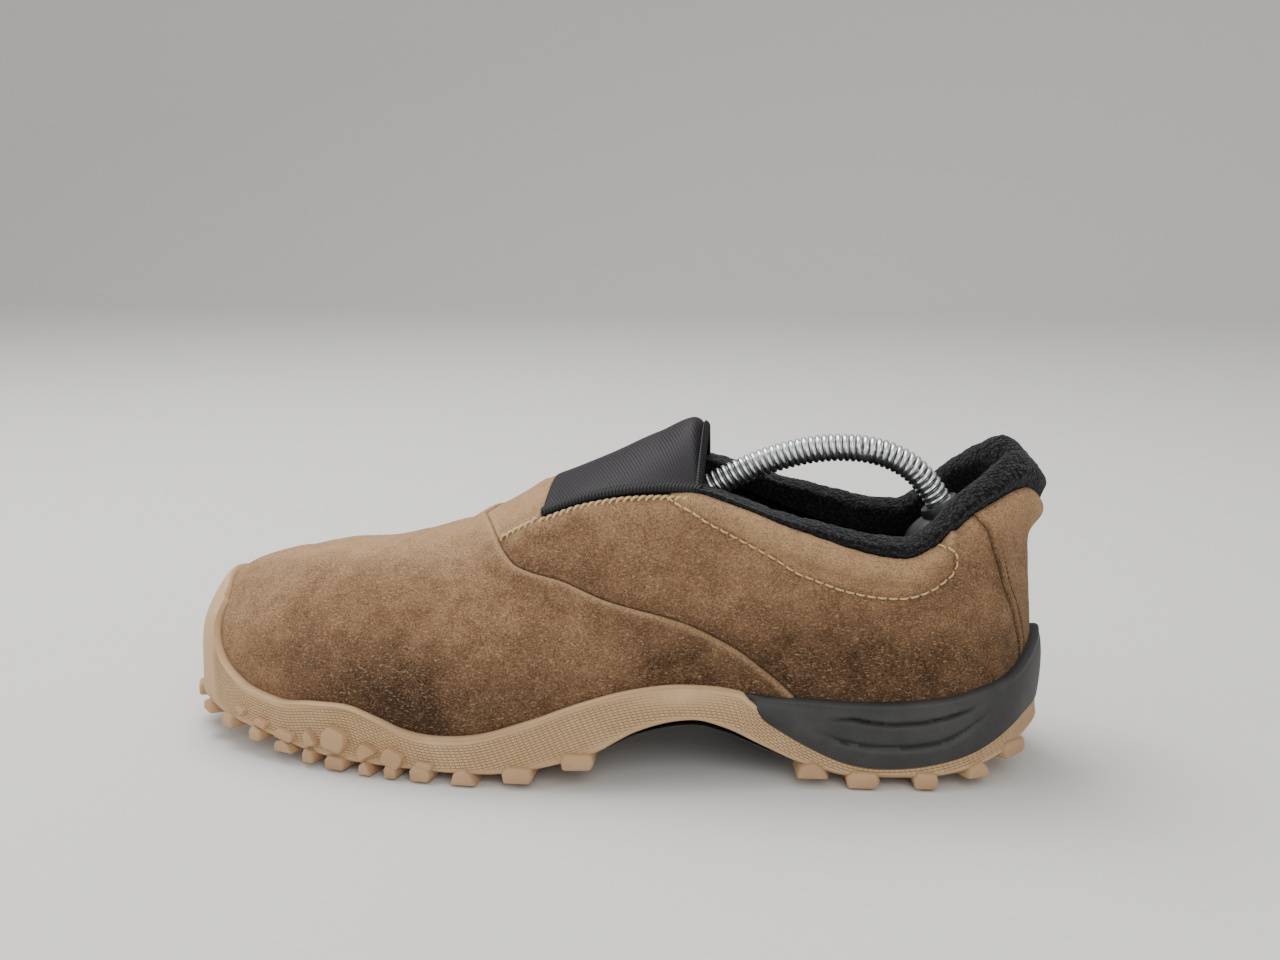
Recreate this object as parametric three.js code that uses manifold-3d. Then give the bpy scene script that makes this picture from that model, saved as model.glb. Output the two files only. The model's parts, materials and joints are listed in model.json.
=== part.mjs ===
// A slip-on moccasin for the left foot, with the spring shoe tree that keeps its shape.
//
// Frame: millimetres, +Z up, toe towards -X, heel towards +X. The outer (lateral) side faces -Y and
// the inner (medial) side faces +Y. The origin is the middle of the bottom of the shoe's own box.
//
// The upper is drawn on one last, the smooth body that a shoemaker builds on. A place on the last is
// (u, v): u runs round the shoe from the toe (0) along the lateral side to the middle of the heel (1),
// and the medial side has the same values with a minus sign. v climbs from the feather edge under the
// foot (0) past the top line (5) to the ridge over the instep (6).

import * as THREE from 'three';
import Module from 'manifold-3d';

// ---- Driving sizes, in mm ----------------------------------------------------------------------

const LENGTH = 300; // toe to heel, over the sole
const WIDTH = 105; // across the ball, over the sole
const HEIGHT = 112; // ground to the top of the throat

const GAP = 0.3; // between two pieces that touch
const FACET_ALLOWANCE = 0.4; // extra between curved layers, whose facets do not line up
const LAYER = GAP + FACET_ALLOWANCE;

const SUEDE = 1.8;
const STIFFENER = 1.2; // toe puff and heel counter
const LINING = 1.6;
const GORE = 2.0;

const WALL = 2.6; // rubber wall of the outsole, and the foam wall of the midsole
const SOLE = 3.6; // rubber under the midsole
const LUG_HEIGHT = 3.3;
const LUG_PROUD = 1.6; // how far an edge lug stands out of the wall
const LUG_INWARD = 13; // how far an edge lug reaches under the sole

const BOARD = 1.8; // insole board
const FOOTBED = 4.2;
const FOOTBED_COVER = 1.2;

const SHANK_LENGTH = 96;
const SHANK_WIDTH = 15;
const SHANK_THICKNESS = 1.6;
const ARCH_PLATE = 2.2;

const COLLAR_DEPTH = 8.2; // padding from the suede to the foot
const BINDING_RADIUS = 1.1;

const SPRING_RADIUS = 4.7;
const FORM_MARGIN = 2.6; // between the toe form and the lining

// The last is drawn at a sample size and graded to the sizes above.
const SAMPLE = { length: 300, width: 105, height: 112 };
const GRADE = { x: LENGTH / SAMPLE.length, y: WIDTH / SAMPLE.width, z: HEIGHT / SAMPLE.height };

// ---- The last ----------------------------------------------------------------------------------

// Plan of the sole's widest line: u, x, y.
const OUTLINE = [
  [-0.97, 140, 21.5], [-0.93, 124, 34.5], [-0.87, 99, 38.5], [-0.78, 63, 36.5], [-0.68, 28, 37],
  [-0.58, -6, 42.5], [-0.48, -40, 48.5], [-0.38, -72, 51], [-0.26, -108, 49], [-0.16, -136, 40],
  [-0.08, -147.5, 26],
  [0, -150, 10],
  [0.08, -144.5, -11], [0.16, -129.5, -28], [0.26, -103, -40.5], [0.38, -70, -49.5],
  [0.48, -38, -53.5], [0.58, -5, -52], [0.68, 30, -46], [0.78, 65, -41.5], [0.87, 100, -40],
  [0.93, 124, -35.5], [0.97, 140, -21.5], [1, 148, 0],
];

// Plan of the middle line that every section stands on: distance from the toe |u|, x, y.
const SPINE = [
  [0, -106, 5], [0.08, -105, 4.5], [0.16, -102, 3.5], [0.26, -92, 2], [0.38, -70, 0],
  [0.48, -38, 0], [0.58, -5, 0], [0.68, 30, 0], [0.78, 65, 0], [0.87, 98, 0], [0.93, 111, 0],
  [0.97, 114, 0], [1, 115, 0],
];

// Half sections, from the feather edge up: |u|, then a height and an inset from the outline at
// v = 0, 1 and 2, a height and a half width at v = 3, 4 and 5, and the height of the ridge at v = 6.
const SECTIONS = [
  [0.00, 31.0, 3.5, 38, 4.5, 46, 7.5, 52.5, 31.5, 57.5, 24, 62, 12, 64.4],
  [0.08, 28.5, 3.5, 36, 4.0, 45, 7.0, 52, 29, 57.5, 21, 62, 10.5, 64.5],
  [0.16, 24.0, 3.5, 33, 3.0, 43, 5.5, 51.5, 28, 58, 20, 63, 10, 64.9],
  [0.26, 18.5, 3.5, 29, 1.8, 40, 4.0, 51, 31.5, 59.5, 22, 65.5, 11, 67],
  [0.38, 14.0, 3.5, 26, 1.2, 38, 3.0, 51, 38, 61.5, 27, 68.3, 14, 70.3],
  [0.48, 14.5, 3.5, 28, 1.5, 42, 4.5, 57, 40, 69, 29, 78, 16, 80.5],
  [0.54, 18.5, 3.5, 32, 2.3, 47, 6.0, 62, 39.5, 75, 33, 84.5, 27.5, 92],
  [0.58, 22.5, 3.5, 36, 3.0, 50, 7.0, 66, 38, 80, 32, 89.5, 27.5, 97.5],
  [0.68, 28.8, 3.5, 41, 3.4, 54, 5.0, 68, 38.5, 82, 34.5, 94.5, 30, 112],
  [0.73, 28.3, 3.5, 40, 3.4, 52.5, 4.4, 65.5, 37.8, 78.5, 35.5, 90.5, 33, 113],
  [0.78, 27.0, 3.5, 39, 3.4, 51, 4.0, 62, 37, 73.5, 36, 84, 34, 112],
  [0.87, 25.7, 3.5, 36, 3.2, 46, 2.8, 56, 36.8, 66, 36, 75.5, 33.5, 110],
  [0.93, 26.3, 3.5, 38, 3.4, 50, 4.2, 62.5, 33, 76, 32, 91, 32, 110],
  [0.97, 27.3, 3.5, 39, 3.4, 51.5, 4.4, 64, 28.8, 78, 28.4, 97, 30.4, 110],
  [1.00, 28.0, 3.5, 41, 3.5, 54, 4.3, 66, 27.8, 77.5, 27.3, 88.6, 30, 110],
];

// How much of the narrower waist on the medial side the section takes at v = 3 and v = 4.
const WAIST_FOLLOW = [0.6, 0.3];

// Lines on the last. Each is drawn as pairs of a place along it and the value there.
const RUBBER_TOP = [ // |u|, v
  [0, 3.1], [0.067, 2.82], [0.1, 2.44], [0.116, 2.14], [0.124, 1.58], [0.144, 0.84], [0.179, 0.3],
  [0.2, 0.14], [0.24, 0.16], [0.296, 0.56], [0.345, 0.76], [0.379, 0.56], [0.41, 0.24],
  [0.448, 0.11], [0.541, 0.3], [0.629, 0.43], [0.71, 0.39], [0.75, 0.24], [1, 0.24],
];
const FOAM_TOP = [ // |u|, v
  [0.7, 0.2], [0.802, 0.22], [0.873, 0.31], [0.923, 0.48], [0.961, 0.75], [0.98, 1.0], [1, 1.35],
];
const VAMP_SEAM = [ // v, |u|
  [0, 0.79], [0.84, 0.758], [1.6, 0.717], [2.11, 0.666], [2.53, 0.612], [3.24, 0.552],
  [3.68, 0.52], [4.11, 0.504], [4.66, 0.49], [5.34, 0.476], [6, 0.466],
];
const HEEL_SEAM = [ // v, |u|
  [0, 0.977], [1.77, 0.973], [2.41, 0.967], [3.02, 0.959], [3.81, 0.95], [4.28, 0.942], [5, 0.926],
];
const TAB_CORNER = 4.5; // v where the instep tab, the vamp and a quarter meet
const GORE_FRONT = 0.541; // |u|
const GORE_BACK = 0.69; // |u|
const TOP_LINE = 4.98; // v of the quarters' top edge

// ---- The sole's heights ------------------------------------------------------------------------

const SOLE_BOTTOM = [ // |u|, z
  [0, 13], [0.08, 12.4], [0.16, 10.4], [0.2, 9], [0.24, 7.2], [0.28, 4.9], [0.32, 3.8],
  [0.36, LUG_HEIGHT], [0.48, LUG_HEIGHT], [0.52, 4.2], [0.555, 6.6], [0.6, 11.2], [0.64, 18.5],
  [0.69, 22], [0.72, 19.3], [0.755, 13.2], [0.785, 8], [0.81, 4.9], [0.835, LUG_HEIGHT],
  [0.885, LUG_HEIGHT], [0.91, 4.5], [0.935, 6.4], [0.965, 10.6], [1, 13.5],
];
const FOAM_FRONT = 0.738; // |u| where the foam midsole comes out from behind the rubber
const RUBBER_TOP_AT_HEEL = [ // |u|, z, behind FOAM_FRONT
  [FOAM_FRONT, 30], [0.764, 23.1], [0.793, 16.6], [0.83, 10.7], [0.856, 9.5], [0.882, 10],
  [0.908, 12.1], [0.934, 15.1], [0.974, 22.8], [1, 24.6],
];

// Edge lugs, each from one |u| to another, the same on both sides.
const EDGE_LUGS = [
  [0.035, 0.07], [0.1, 0.13], [0.155, 0.18], [0.203, 0.225], [0.237, 0.27], [0.28, 0.3],
  [0.31, 0.343], [0.355, 0.375], [0.387, 0.405], [0.415, 0.442], [0.458, 0.49], [0.51, 0.547],
  [0.568, 0.605], [0.783, 0.816], [0.825, 0.857], [0.88, 0.903], [0.923, 0.945], [0.952, 0.975],
];
const MIDDLE_LUG_ROWS = [0.3, 0.345, 0.39, 0.435, 0.48, 0.525, 0.81, 0.845, 0.885]; // |u|
const MIDDLE_LUG = { length: 9, width: 15, spread: 20 };

// ---- Curves ------------------------------------------------------------------------------------

/**
 * A smooth curve through rows of [place, value, value ...] that never swings past its points.
 * With a period the curve closes on itself; a level curve starts and ends without a slope.
 */
function through(rows, { period = 0, level = false } = {}) {
  let points = rows;
  if (period > 0) {
    const shifted = (row, by) => [row[0] + by, ...row.slice(1)];
    const before = rows.slice(-3).map((row) => shifted(row, -period));
    const after = rows.slice(0, 3).map((row) => shifted(row, period));
    points = [...before, ...rows, ...after];
  }
  const last = points.length - 1;
  const count = points[0].length - 1;
  const step = points.slice(1).map((row, i) => row[0] - points[i][0]);
  const rise = points.slice(1).map((row, i) => row.slice(1).map((y, k) => (y - points[i][k + 1]) / step[i]));
  const slope = points.map((row, i) => {
    if (i === 0) return level ? new Array(count).fill(0) : rise[0];
    if (i === last) return level ? new Array(count).fill(0) : rise[last - 1];
    return rise[i].map((ahead, k) => {
      const behind = rise[i - 1][k];
      if (ahead * behind <= 0) return 0;
      const mean = (behind * step[i] + ahead * step[i - 1]) / (step[i - 1] + step[i]);
      const most = 3 * Math.min(Math.abs(ahead), Math.abs(behind));
      return Math.max(-most, Math.min(most, mean));
    });
  });
  return (place) => {
    const x = Math.max(points[0][0], Math.min(points[last][0], place));
    let i = 0;
    while (i < last - 1 && points[i + 1][0] < x) i += 1;
    const t = (x - points[i][0]) / step[i];
    const ease = t * t * (3 - 2 * t);
    return slope[i].map((from, k) => {
      const blend = points[i][k + 1] * (1 - ease) + points[i + 1][k + 1] * ease;
      return blend + (from * t * (1 - t) ** 2 - slope[i + 1][k] * t * t * (1 - t)) * step[i];
    });
  };
}

const lerp = (a, b, t) => a + (b - a) * t;
const clamp = (x, low, high) => Math.max(low, Math.min(high, x));
const smooth = (x, from, to) => {
  const t = clamp((x - from) / (to - from), 0, 1);
  return t * t * (3 - 2 * t);
};
const steps = (count) => Array.from({ length: count + 1 }, (_, i) => i / count);

const outline = through(OUTLINE, { period: 2 });
const spine = through(SPINE, { level: true });
const sections = through(SECTIONS, { level: true });
const rubberTop = through(RUBBER_TOP);
const foamTop = through(FOAM_TOP);
const vampSeam = through(VAMP_SEAM);
const heelSeam = through(HEEL_SEAM);
const soleBottomLine = through(SOLE_BOTTOM, { level: true });
const rubberTopAtHeelLine = through(RUBBER_TOP_AT_HEEL);

// ---- Places on the last and on the sole ----------------------------------------------------------

/** u from any turn of the outline, brought to -1 .. 1. */
const wrap = (u) => (u > 1 ? u - 2 : u);
const along = (u) => Math.abs(wrap(u));

/** The plan at u: the spine point, the direction out to the rim and the distance to it. */
function plan(u) {
  const [rimX, rimY] = outline(wrap(u));
  const [coreX, coreY] = spine(along(u));
  const core = new THREE.Vector2(coreX * GRADE.x, coreY * GRADE.y);
  const out = new THREE.Vector2(rimX * GRADE.x, rimY * GRADE.y).sub(core);
  const reach = out.length();
  return { core, out: out.divideScalar(reach), reach };
}

/** A point at u, so far inside the rim and at height z. */
function ringPoint(u, inset, z) {
  const { core, out, reach } = plan(u);
  const r = reach - Math.min(inset, reach);
  return new THREE.Vector3(core.x + out.x * r, core.y + out.y * r, z);
}

/** Control points of the half section at u, as distances from the spine and heights. */
function sectionAt(u) {
  const { core, out, reach } = plan(u);
  const [z0, i0, z1, i1, z2, i2, z3, h3, z4, h4, z5, h5, z6] = sections(along(u));
  const lateralReach = plan(along(u)).reach;
  const waist = wrap(u) < 0 ? reach - lateralReach : 0;
  const widths = [h3 + waist * WAIST_FOLLOW[0] / GRADE.y, h4 + waist * WAIST_FOLLOW[1] / GRADE.y, h5];
  return {
    core,
    out,
    across: [reach - i0, reach - i1, reach - i2, ...widths.map((w) => w * GRADE.y), 0],
    heights: [z0, z1, z2, z3, z4, z5, z6].map((z) => z * GRADE.z),
  };
}

/** One coordinate of the section spline; past the ridge it carries on into the other half. */
function splineAt(values, beyond, v) {
  const knots = [...values, beyond];
  const i = clamp(Math.floor(v), 0, 5);
  const t = v - i;
  const from = i > 0 ? (knots[i + 1] - knots[i - 1]) / 2 : knots[1] - knots[0];
  const to = (knots[i + 2] - knots[i]) / 2;
  const ease = t * t * (3 - 2 * t);
  return lerp(knots[i], knots[i + 1], ease) + from * t * (1 - t) ** 2 - to * t * t * (1 - t);
}

/** The point of the last at (u, v). */
function onLast(u, v) {
  const { core, out, across, heights } = sectionAt(u);
  const r = splineAt(across, -across[5], v);
  const z = splineAt(heights, heights[5], v);
  return new THREE.Vector3(core.x + out.x * r, core.y + out.y * r, z);
}

/** The outward normal of the last at (u, v), for v below the ridge. */
function lastNormal(u, v) {
  const du = 0.004;
  const dv = 0.03;
  const alongU = onLast(u + du, v).sub(onLast(u - du, v));
  const alongV = onLast(u, v + dv).sub(onLast(u, Math.max(0, v - dv)));
  return alongU.cross(alongV).normalize();
}

/** A point off the last at (u, v): outwards for a positive distance. */
const offLast = (u, v, distance) => onLast(u, v).addScaledVector(lastNormal(u, v), distance);

const featherHeight = (u) => sections(along(u))[0] * GRADE.z;
const soleBottom = (u) => Math.max(LUG_HEIGHT, soleBottomLine(along(u))[0] * GRADE.z);

/** Where the toe and heel fan out from one spot, that spot takes its height from this place. */
const TOE_FAN = 0.26;
const HEEL_FAN = 0.9;
function spinePlace(u) {
  const s = along(u);
  if (s < TOE_FAN) return TOE_FAN - (TOE_FAN - s) * 0.12;
  if (s > HEEL_FAN) return HEEL_FAN + (s - HEEL_FAN) * 0.15;
  return s;
}

/** A point on the spine at u, at the height that a level of the sole has there. */
const spinePoint = (u, level, raise = 0) => ringPoint(u, 1e6, level(spinePlace(u)) + raise);
const soleFloor = (u) => Math.min(soleBottom(u) + SOLE, featherHeight(u) - 3);
const rubberTopAtHeel = (u) => Math.max(rubberTopAtHeelLine(along(u))[0] * GRADE.z, soleFloor(u) + 1.5);
const besideFoam = (u) => along(u) >= FOAM_FRONT;

/** How deep the stiffeners push the lining in at |u|: the puff in the toe, the counter in the heel. */
const PUFF_END = 0.2;
const COUNTER_START = 0.86;
const SKIVE = 0.05;
const stiffened = (u) => {
  const puff = 1 - smooth(along(u), PUFF_END, PUFF_END + SKIVE);
  const counter = smooth(along(u), COUNTER_START - SKIVE, COUNTER_START);
  return Math.max(puff, counter);
};
const liningDepth = (u) => SUEDE + LAYER + 0.2 + stiffened(u) * (STIFFENER + LAYER);
const innerDepth = (u) => liningDepth(u) + LINING;

// ---- Solids --------------------------------------------------------------------------------------

/** Joins points that coincide and drops the triangles that vanish with them. */
function weld(points, triangles) {
  const index = new Map();
  const kept = [];
  const toKept = points.map((p) => {
    const key = [p.x, p.y, p.z].map((c) => Math.round(c * 2000)).join();
    if (!index.has(key)) {
      index.set(key, kept.length);
      kept.push(p);
    }
    return index.get(key);
  });
  const faces = triangles
    .map((face) => face.map((i) => toKept[i]))
    .filter(([a, b, c]) => a !== b && b !== c && c !== a);
  return { points: kept, triangles: faces };
}

/**
 * Two triangles for each cell of a grid of rows by columns, closed round in either direction. The
 * cells from a given column on are split along their other diagonal.
 */
function gridTriangles(rows, columns, options = {}) {
  const { closeRows = false, closeColumns = false, flipFrom = Infinity } = options;
  const faces = [];
  for (let i = 0; i < (closeRows ? rows : rows - 1); i += 1) {
    for (let j = 0; j < (closeColumns ? columns : columns - 1); j += 1) {
      const a = i * columns + j;
      const b = i * columns + ((j + 1) % columns);
      const c = ((i + 1) % rows) * columns + j;
      const d = ((i + 1) % rows) * columns + ((j + 1) % columns);
      if (j < flipFrom) faces.push([a, b, d], [a, d, c]);
      else faces.push([a, b, c], [b, d, c]);
    }
  }
  return faces;
}

function geometryOf(points, triangles) {
  const geometry = new THREE.BufferGeometry();
  geometry.setAttribute('position', new THREE.Float32BufferAttribute(points.flatMap((p) => p.toArray()), 3));
  geometry.setIndex(triangles.flat());
  return geometry;
}

/** The same body with its faces pointing out, whichever way it was drawn. */
function facingOut({ points, triangles }) {
  let volume = 0;
  for (const [a, b, c] of triangles) {
    volume += points[a].dot(points[b].clone().cross(points[c]));
  }
  return { points, triangles: volume < 0 ? triangles.map(([a, b, c]) => [a, c, b]) : triangles };
}

/** A body through closed loops of points, capped at both ends. */
function loft(loops) {
  const size = loops[0].length;
  const points = loops.flat();
  const triangles = gridTriangles(loops.length, size, { closeColumns: true });
  for (const [loop, base, flip] of [[loops[0], 0, true], [loops.at(-1), (loops.length - 1) * size, false]]) {
    const middle = loop.reduce((sum, p) => sum.add(p), new THREE.Vector3()).divideScalar(size);
    points.push(middle);
    for (let j = 0; j < size; j += 1) {
      const edge = [base + j, base + ((j + 1) % size)];
      triangles.push(flip ? [edge[1], edge[0], points.length - 1] : [edge[0], edge[1], points.length - 1]);
    }
  }
  return facingOut(weld(points, triangles));
}

/**
 * A body from rings that start and end on the spine, such as a cup, a plate or a slab of the sole.
 * Upper and lower faces are split along the same diagonals, so that stacked layers stay parallel.
 */
function ringBody(us, ringsAt) {
  const rings = us.map((u) => ringsAt(u));
  const points = rings.flat();
  const across = rings[0].length;
  const triangles = gridTriangles(us.length, across, { closeRows: true, flipFrom: across / 2 });
  return facingOut(weld(points, triangles));
}

/**
 * A sheet of the upper: a grid of places (u, v) given a thickness. Its face lies so deep under the
 * last and its back is deeper by its thickness; every free edge is trimmed back for the seam gap.
 */
const SEAM_TRIM = GAP / 2 + 0.07; // taken off each panel along a seam
const RIDGE_BAND = 5.9; // v past which a sheet's own facets give its normal
function sheet(places, depth, thickness, trim = SEAM_TRIM) {
  const columns = places[0].length;
  const flat = places.flat();
  const seeds = flat.map(([u, v]) => onLast(u, v));
  seeds.forEach((p, i) => { p.place = flat[i]; });
  const { points, triangles } = weld(seeds, gridTriangles(places.length, columns));
  const normals = points.map(() => new THREE.Vector3());
  const edges = new Map();
  for (const [a, b, c] of triangles) {
    const face = points[b].clone().sub(points[a]).cross(points[c].clone().sub(points[a]));
    for (const i of [a, b, c]) normals[i].add(face);
    for (const [from, to] of [[a, b], [b, c], [c, a]]) {
      if (edges.has(`${to},${from}`)) edges.delete(`${to},${from}`);
      else edges.set(`${from},${to}`, [from, to]);
    }
  }
  const up = normals[Math.floor(normals.length / 2)];
  const seed = points[Math.floor(normals.length / 2)];
  const sign = up.dot(lastNormal(seed.place[0], Math.min(seed.place[1], 5.5))) < 0 ? -1 : 1;
  normals.forEach((n) => n.normalize());
  const outwards = points.map(({ place: [u, v] }, i) => (
    v < RIDGE_BAND ? lastNormal(u, v) : normals[i].clone().multiplyScalar(sign)
  ));
  const inwards = points.map(() => []);
  for (const [from, to] of edges.values()) {
    const edge = points[to].clone().sub(points[from]);
    const inward = normals[from].clone().cross(edge).normalize();
    inwards[from].push(inward);
    inwards[to].push(inward);
  }
  const shifted = points.map((p, i) => {
    if (inwards[i].length < 2) return p.clone();
    const [one, two] = inwards[i];
    return p.clone().addScaledVector(one.clone().add(two), trim / Math.max(0.5, 1 + one.dot(two)));
  });
  const depthAt = (p) => (typeof depth === 'function' ? depth(p.place[0], p.place[1]) : depth);
  const layer = (extra) => shifted.map((p, i) => (
    p.clone().addScaledVector(outwards[i], -depthAt(points[i]) - extra)
  ));
  const face = layer(0);
  const back = layer(thickness);
  const count = points.length;
  const solid = [...triangles, ...triangles.map(([a, b, c]) => [c + count, b + count, a + count])];
  for (const [from, to] of edges.values()) {
    solid.push([from, from + count, to + count], [from, to + count, to]);
  }
  return facingOut({ points: [...face, ...back], triangles: solid });
}

/**
 * Places of a patch between four lines, each a function of 0 .. 1 that gives (u, v), at the given
 * shares of the way across and up.
 */
function patch({ bottom, top, front, back }, across, up) {
  return up.map((b) => across.map((a) => [0, 1].map((k) => {
    const ruled = lerp(bottom(a)[k], top(a)[k], b) + lerp(front(b)[k], back(b)[k], a);
    const low = lerp(bottom(0)[k], bottom(1)[k], a);
    const high = lerp(top(0)[k], top(1)[k], a);
    return ruled - lerp(low, high, b);
  })));
}

/** A body as a manifold-3d solid, and back. */
const wasm = await Module();
wasm.setup();

function toSolid({ points, triangles }) {
  const mesh = new wasm.Mesh({
    numProp: 3,
    vertProperties: new Float32Array(points.flatMap((p) => p.toArray())),
    triVerts: new Uint32Array(triangles.flat()),
  });
  return new wasm.Manifold(mesh);
}

function fromSolid(solid) {
  const { vertProperties, triVerts } = solid.getMesh();
  const points = [];
  for (let i = 0; i < vertProperties.length; i += 3) {
    points.push(new THREE.Vector3(vertProperties[i], vertProperties[i + 1], vertProperties[i + 2]));
  }
  const triangles = [];
  for (let i = 0; i < triVerts.length; i += 3) {
    triangles.push([triVerts[i], triVerts[i + 1], triVerts[i + 2]]);
  }
  return { points, triangles };
}

/** A tube along a line of points. */
function tube(points, radius, sides, stepCount) {
  const round = new THREE.Shape();
  for (let i = 0; i < sides; i += 1) {
    const angle = (2 * Math.PI * i) / sides;
    const spot = [radius * Math.cos(angle), radius * Math.sin(angle)];
    if (i === 0) round.moveTo(...spot);
    else round.lineTo(...spot);
  }
  round.closePath();
  const path = new THREE.CatmullRomCurve3(points);
  const geometry = new THREE.ExtrudeGeometry(round, {
    steps: stepCount,
    extrudePath: path,
    curveSegments: sides,
  });
  geometry.deleteAttribute('normal');
  geometry.deleteAttribute('uv');
  return geometry;
}

// ---- Materials -----------------------------------------------------------------------------------

const finish = (color, roughness, metalness = 0) => (
  new THREE.MeshStandardMaterial({ color, roughness, metalness })
);
const MATERIALS = {
  suede: finish(0x9c7a55, 0.95),
  rubber: finish(0xb99c78, 0.8),
  foam: finish(0x4b4a48, 0.85),
  arch: finish(0x1d1f24, 0.5),
  board: finish(0xb8a27c, 0.9),
  steel: finish(0xaeb2b5, 0.35, 1),
  fleece: finish(0x17191c, 1),
  gore: finish(0x221c26, 0.55),
  stiffener: finish(0xd8d2c4, 0.7),
  treePlastic: finish(0x2a2c2f, 0.4),
};

const model = new THREE.Group();

function addBody(name, body, material) {
  const geometry = body.isBufferGeometry ? body : geometryOf(body.points, body.triangles);
  const mesh = new THREE.Mesh(geometry, material);
  mesh.name = name;
  model.add(mesh);
}

// ---- Sole ----------------------------------------------------------------------------------------

/** Columns round the sole, closer together where the rim turns. */
const SOLE_STATIONS = [
  0, 0.025, 0.05, 0.072, 0.094, 0.114, 0.13, 0.147, 0.168, 0.195, 0.23, 0.27, 0.31, 0.35, 0.39,
  0.43, 0.48, 0.53, 0.565, 0.6, 0.62, 0.64, 0.665, 0.69, 0.715, 0.733, 0.738, 0.755, 0.77, 0.79,
  0.815, 0.84, 0.87, 0.895, 0.915, 0.935, 0.95, 0.962, 0.974, 0.987, 1,
];
const soleColumns = [...SOLE_STATIONS, ...SOLE_STATIONS.slice(1, -1).reverse().map((s) => -s)];

/** Rings of the rubber cup, from the middle of its underside round the wall to the middle of its floor. */
function rubberRings(u) {
  const low = soleBottom(u);
  const floor = soleFloor(u);
  const topV = rubberTop(along(u))[0];
  const lipOut = LAYER + WALL;
  const inner = (share) => {
    if (besideFoam(u)) return ringPoint(u, WALL + GAP, lerp(floor, rubberTopAtHeel(u), share));
    return offLast(u, topV * share, topV > 1 ? LAYER + 1.5 * FACET_ALLOWANCE : LAYER);
  };
  const rim = besideFoam(u)
    ? ringPoint(u, 0.6, rubberTopAtHeel(u))
    : offLast(u, topV, lipOut * lerp(1, 0.6, clamp((topV - 1) / 2, 0, 1)));
  const rise = rim.z - low;
  const outer = (share) => {
    if (besideFoam(u) || topV < 1) return ringPoint(u, lerp(0.2, 0.9, share ** 2), low + rise * share);
    const out = lerp(3.4, lipOut * 0.75, share);
    return offLast(u, topV * share, out).setZ(lerp(low + rise * 0.35, rim.z, share));
  };
  return [
    spinePoint(u, soleBottom),
    ringPoint(u, 5, low),
    ringPoint(u, 1.4, low + 0.6),
    ringPoint(u, 0.1, low + rise * 0.3),
    outer(0.6),
    outer(0.85),
    rim,
    ...[1, 0.84, 0.7, 0.5, 0].map(inner),
    ringPoint(u, WALL + GAP, floor),
    ringPoint(u, layerInset(u), floor),
    spinePoint(u, soleFloor),
  ];
}

/** Rings of everything the rubber cup fills or hides, swollen by a gap: it cuts the foam. */
function rubberCutterRings(u) {
  const beyond = -4;
  const low = soleBottom(u) - 8;
  const top = rubberRings(u)[6].z + GAP;
  const inner = WALL + 2 * GAP;
  return [
    spinePoint(u, soleBottom, -8),
    ringPoint(u, beyond, low),
    ringPoint(u, beyond, top),
    ringPoint(u, inner, top),
    ringPoint(u, inner, soleFloor(u) + GAP),
    ringPoint(u, layerInset(u), soleFloor(u) + GAP),
    spinePoint(u, soleFloor, GAP),
  ];
}

/** A lug under the rim, from one |u| to another on one side. Its foot is flat. */
function edgeLug(from, to, side) {
  const foot = Math.max(0, soleBottom((from + to) / 2) - LUG_HEIGHT);
  return loft([from, to].map((s) => {
    const u = s * side;
    const low = soleBottom(u);
    return [
      ringPoint(u, 0.8 - LUG_PROUD, foot),
      ringPoint(u, LUG_INWARD, foot),
      ringPoint(u, LUG_INWARD + 1, low + 1),
      ringPoint(u, 3, low + 3.4),
      ringPoint(u, -LUG_PROUD, low + 2.6),
    ];
  }));
}

/** A six-sided lug under the middle of the sole. */
function middleLug(s, across) {
  const { core } = plan(s);
  const low = soleBottom(s);
  const foot = Math.max(0, low - LUG_HEIGHT);
  const corners = [[-1, 0], [-0.4, -1], [0.4, -1], [1, 0], [0.4, 1], [-0.4, 1]];
  const hexagon = (z, grow) => corners.map(([a, b]) => new THREE.Vector3(
    core.x + a * (MIDDLE_LUG.length / 2 + grow),
    across + b * (MIDDLE_LUG.width / 2 + grow),
    z,
  ));
  return loft([hexagon(foot, 0), hexagon(low + 1, 1)]);
}

let outsole = toSolid(ringBody(soleColumns, rubberRings));
for (const side of [1, -1]) {
  for (const [from, to] of EDGE_LUGS) outsole = outsole.add(toSolid(edgeLug(from, to, side)));
}
for (const s of MIDDLE_LUG_ROWS) {
  const spread = MIDDLE_LUG.spread * GRADE.y;
  for (const across of s < 0.7 ? [-spread, 0, spread] : [-spread / 2, spread / 2]) {
    outsole = outsole.add(toSolid(middleLug(s, across)));
  }
}
addBody('outsole', fromSolid(outsole), MATERIALS.rubber);

/** The inset that the flat layers under the foot share at u. */
function layerInset(u) {
  const [, i0, , i1] = sections(along(u));
  return Math.max(i0, i1) + innerDepth(u) + LAYER;
}

const FOAM_LIFT = GAP + 0.15;

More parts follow.
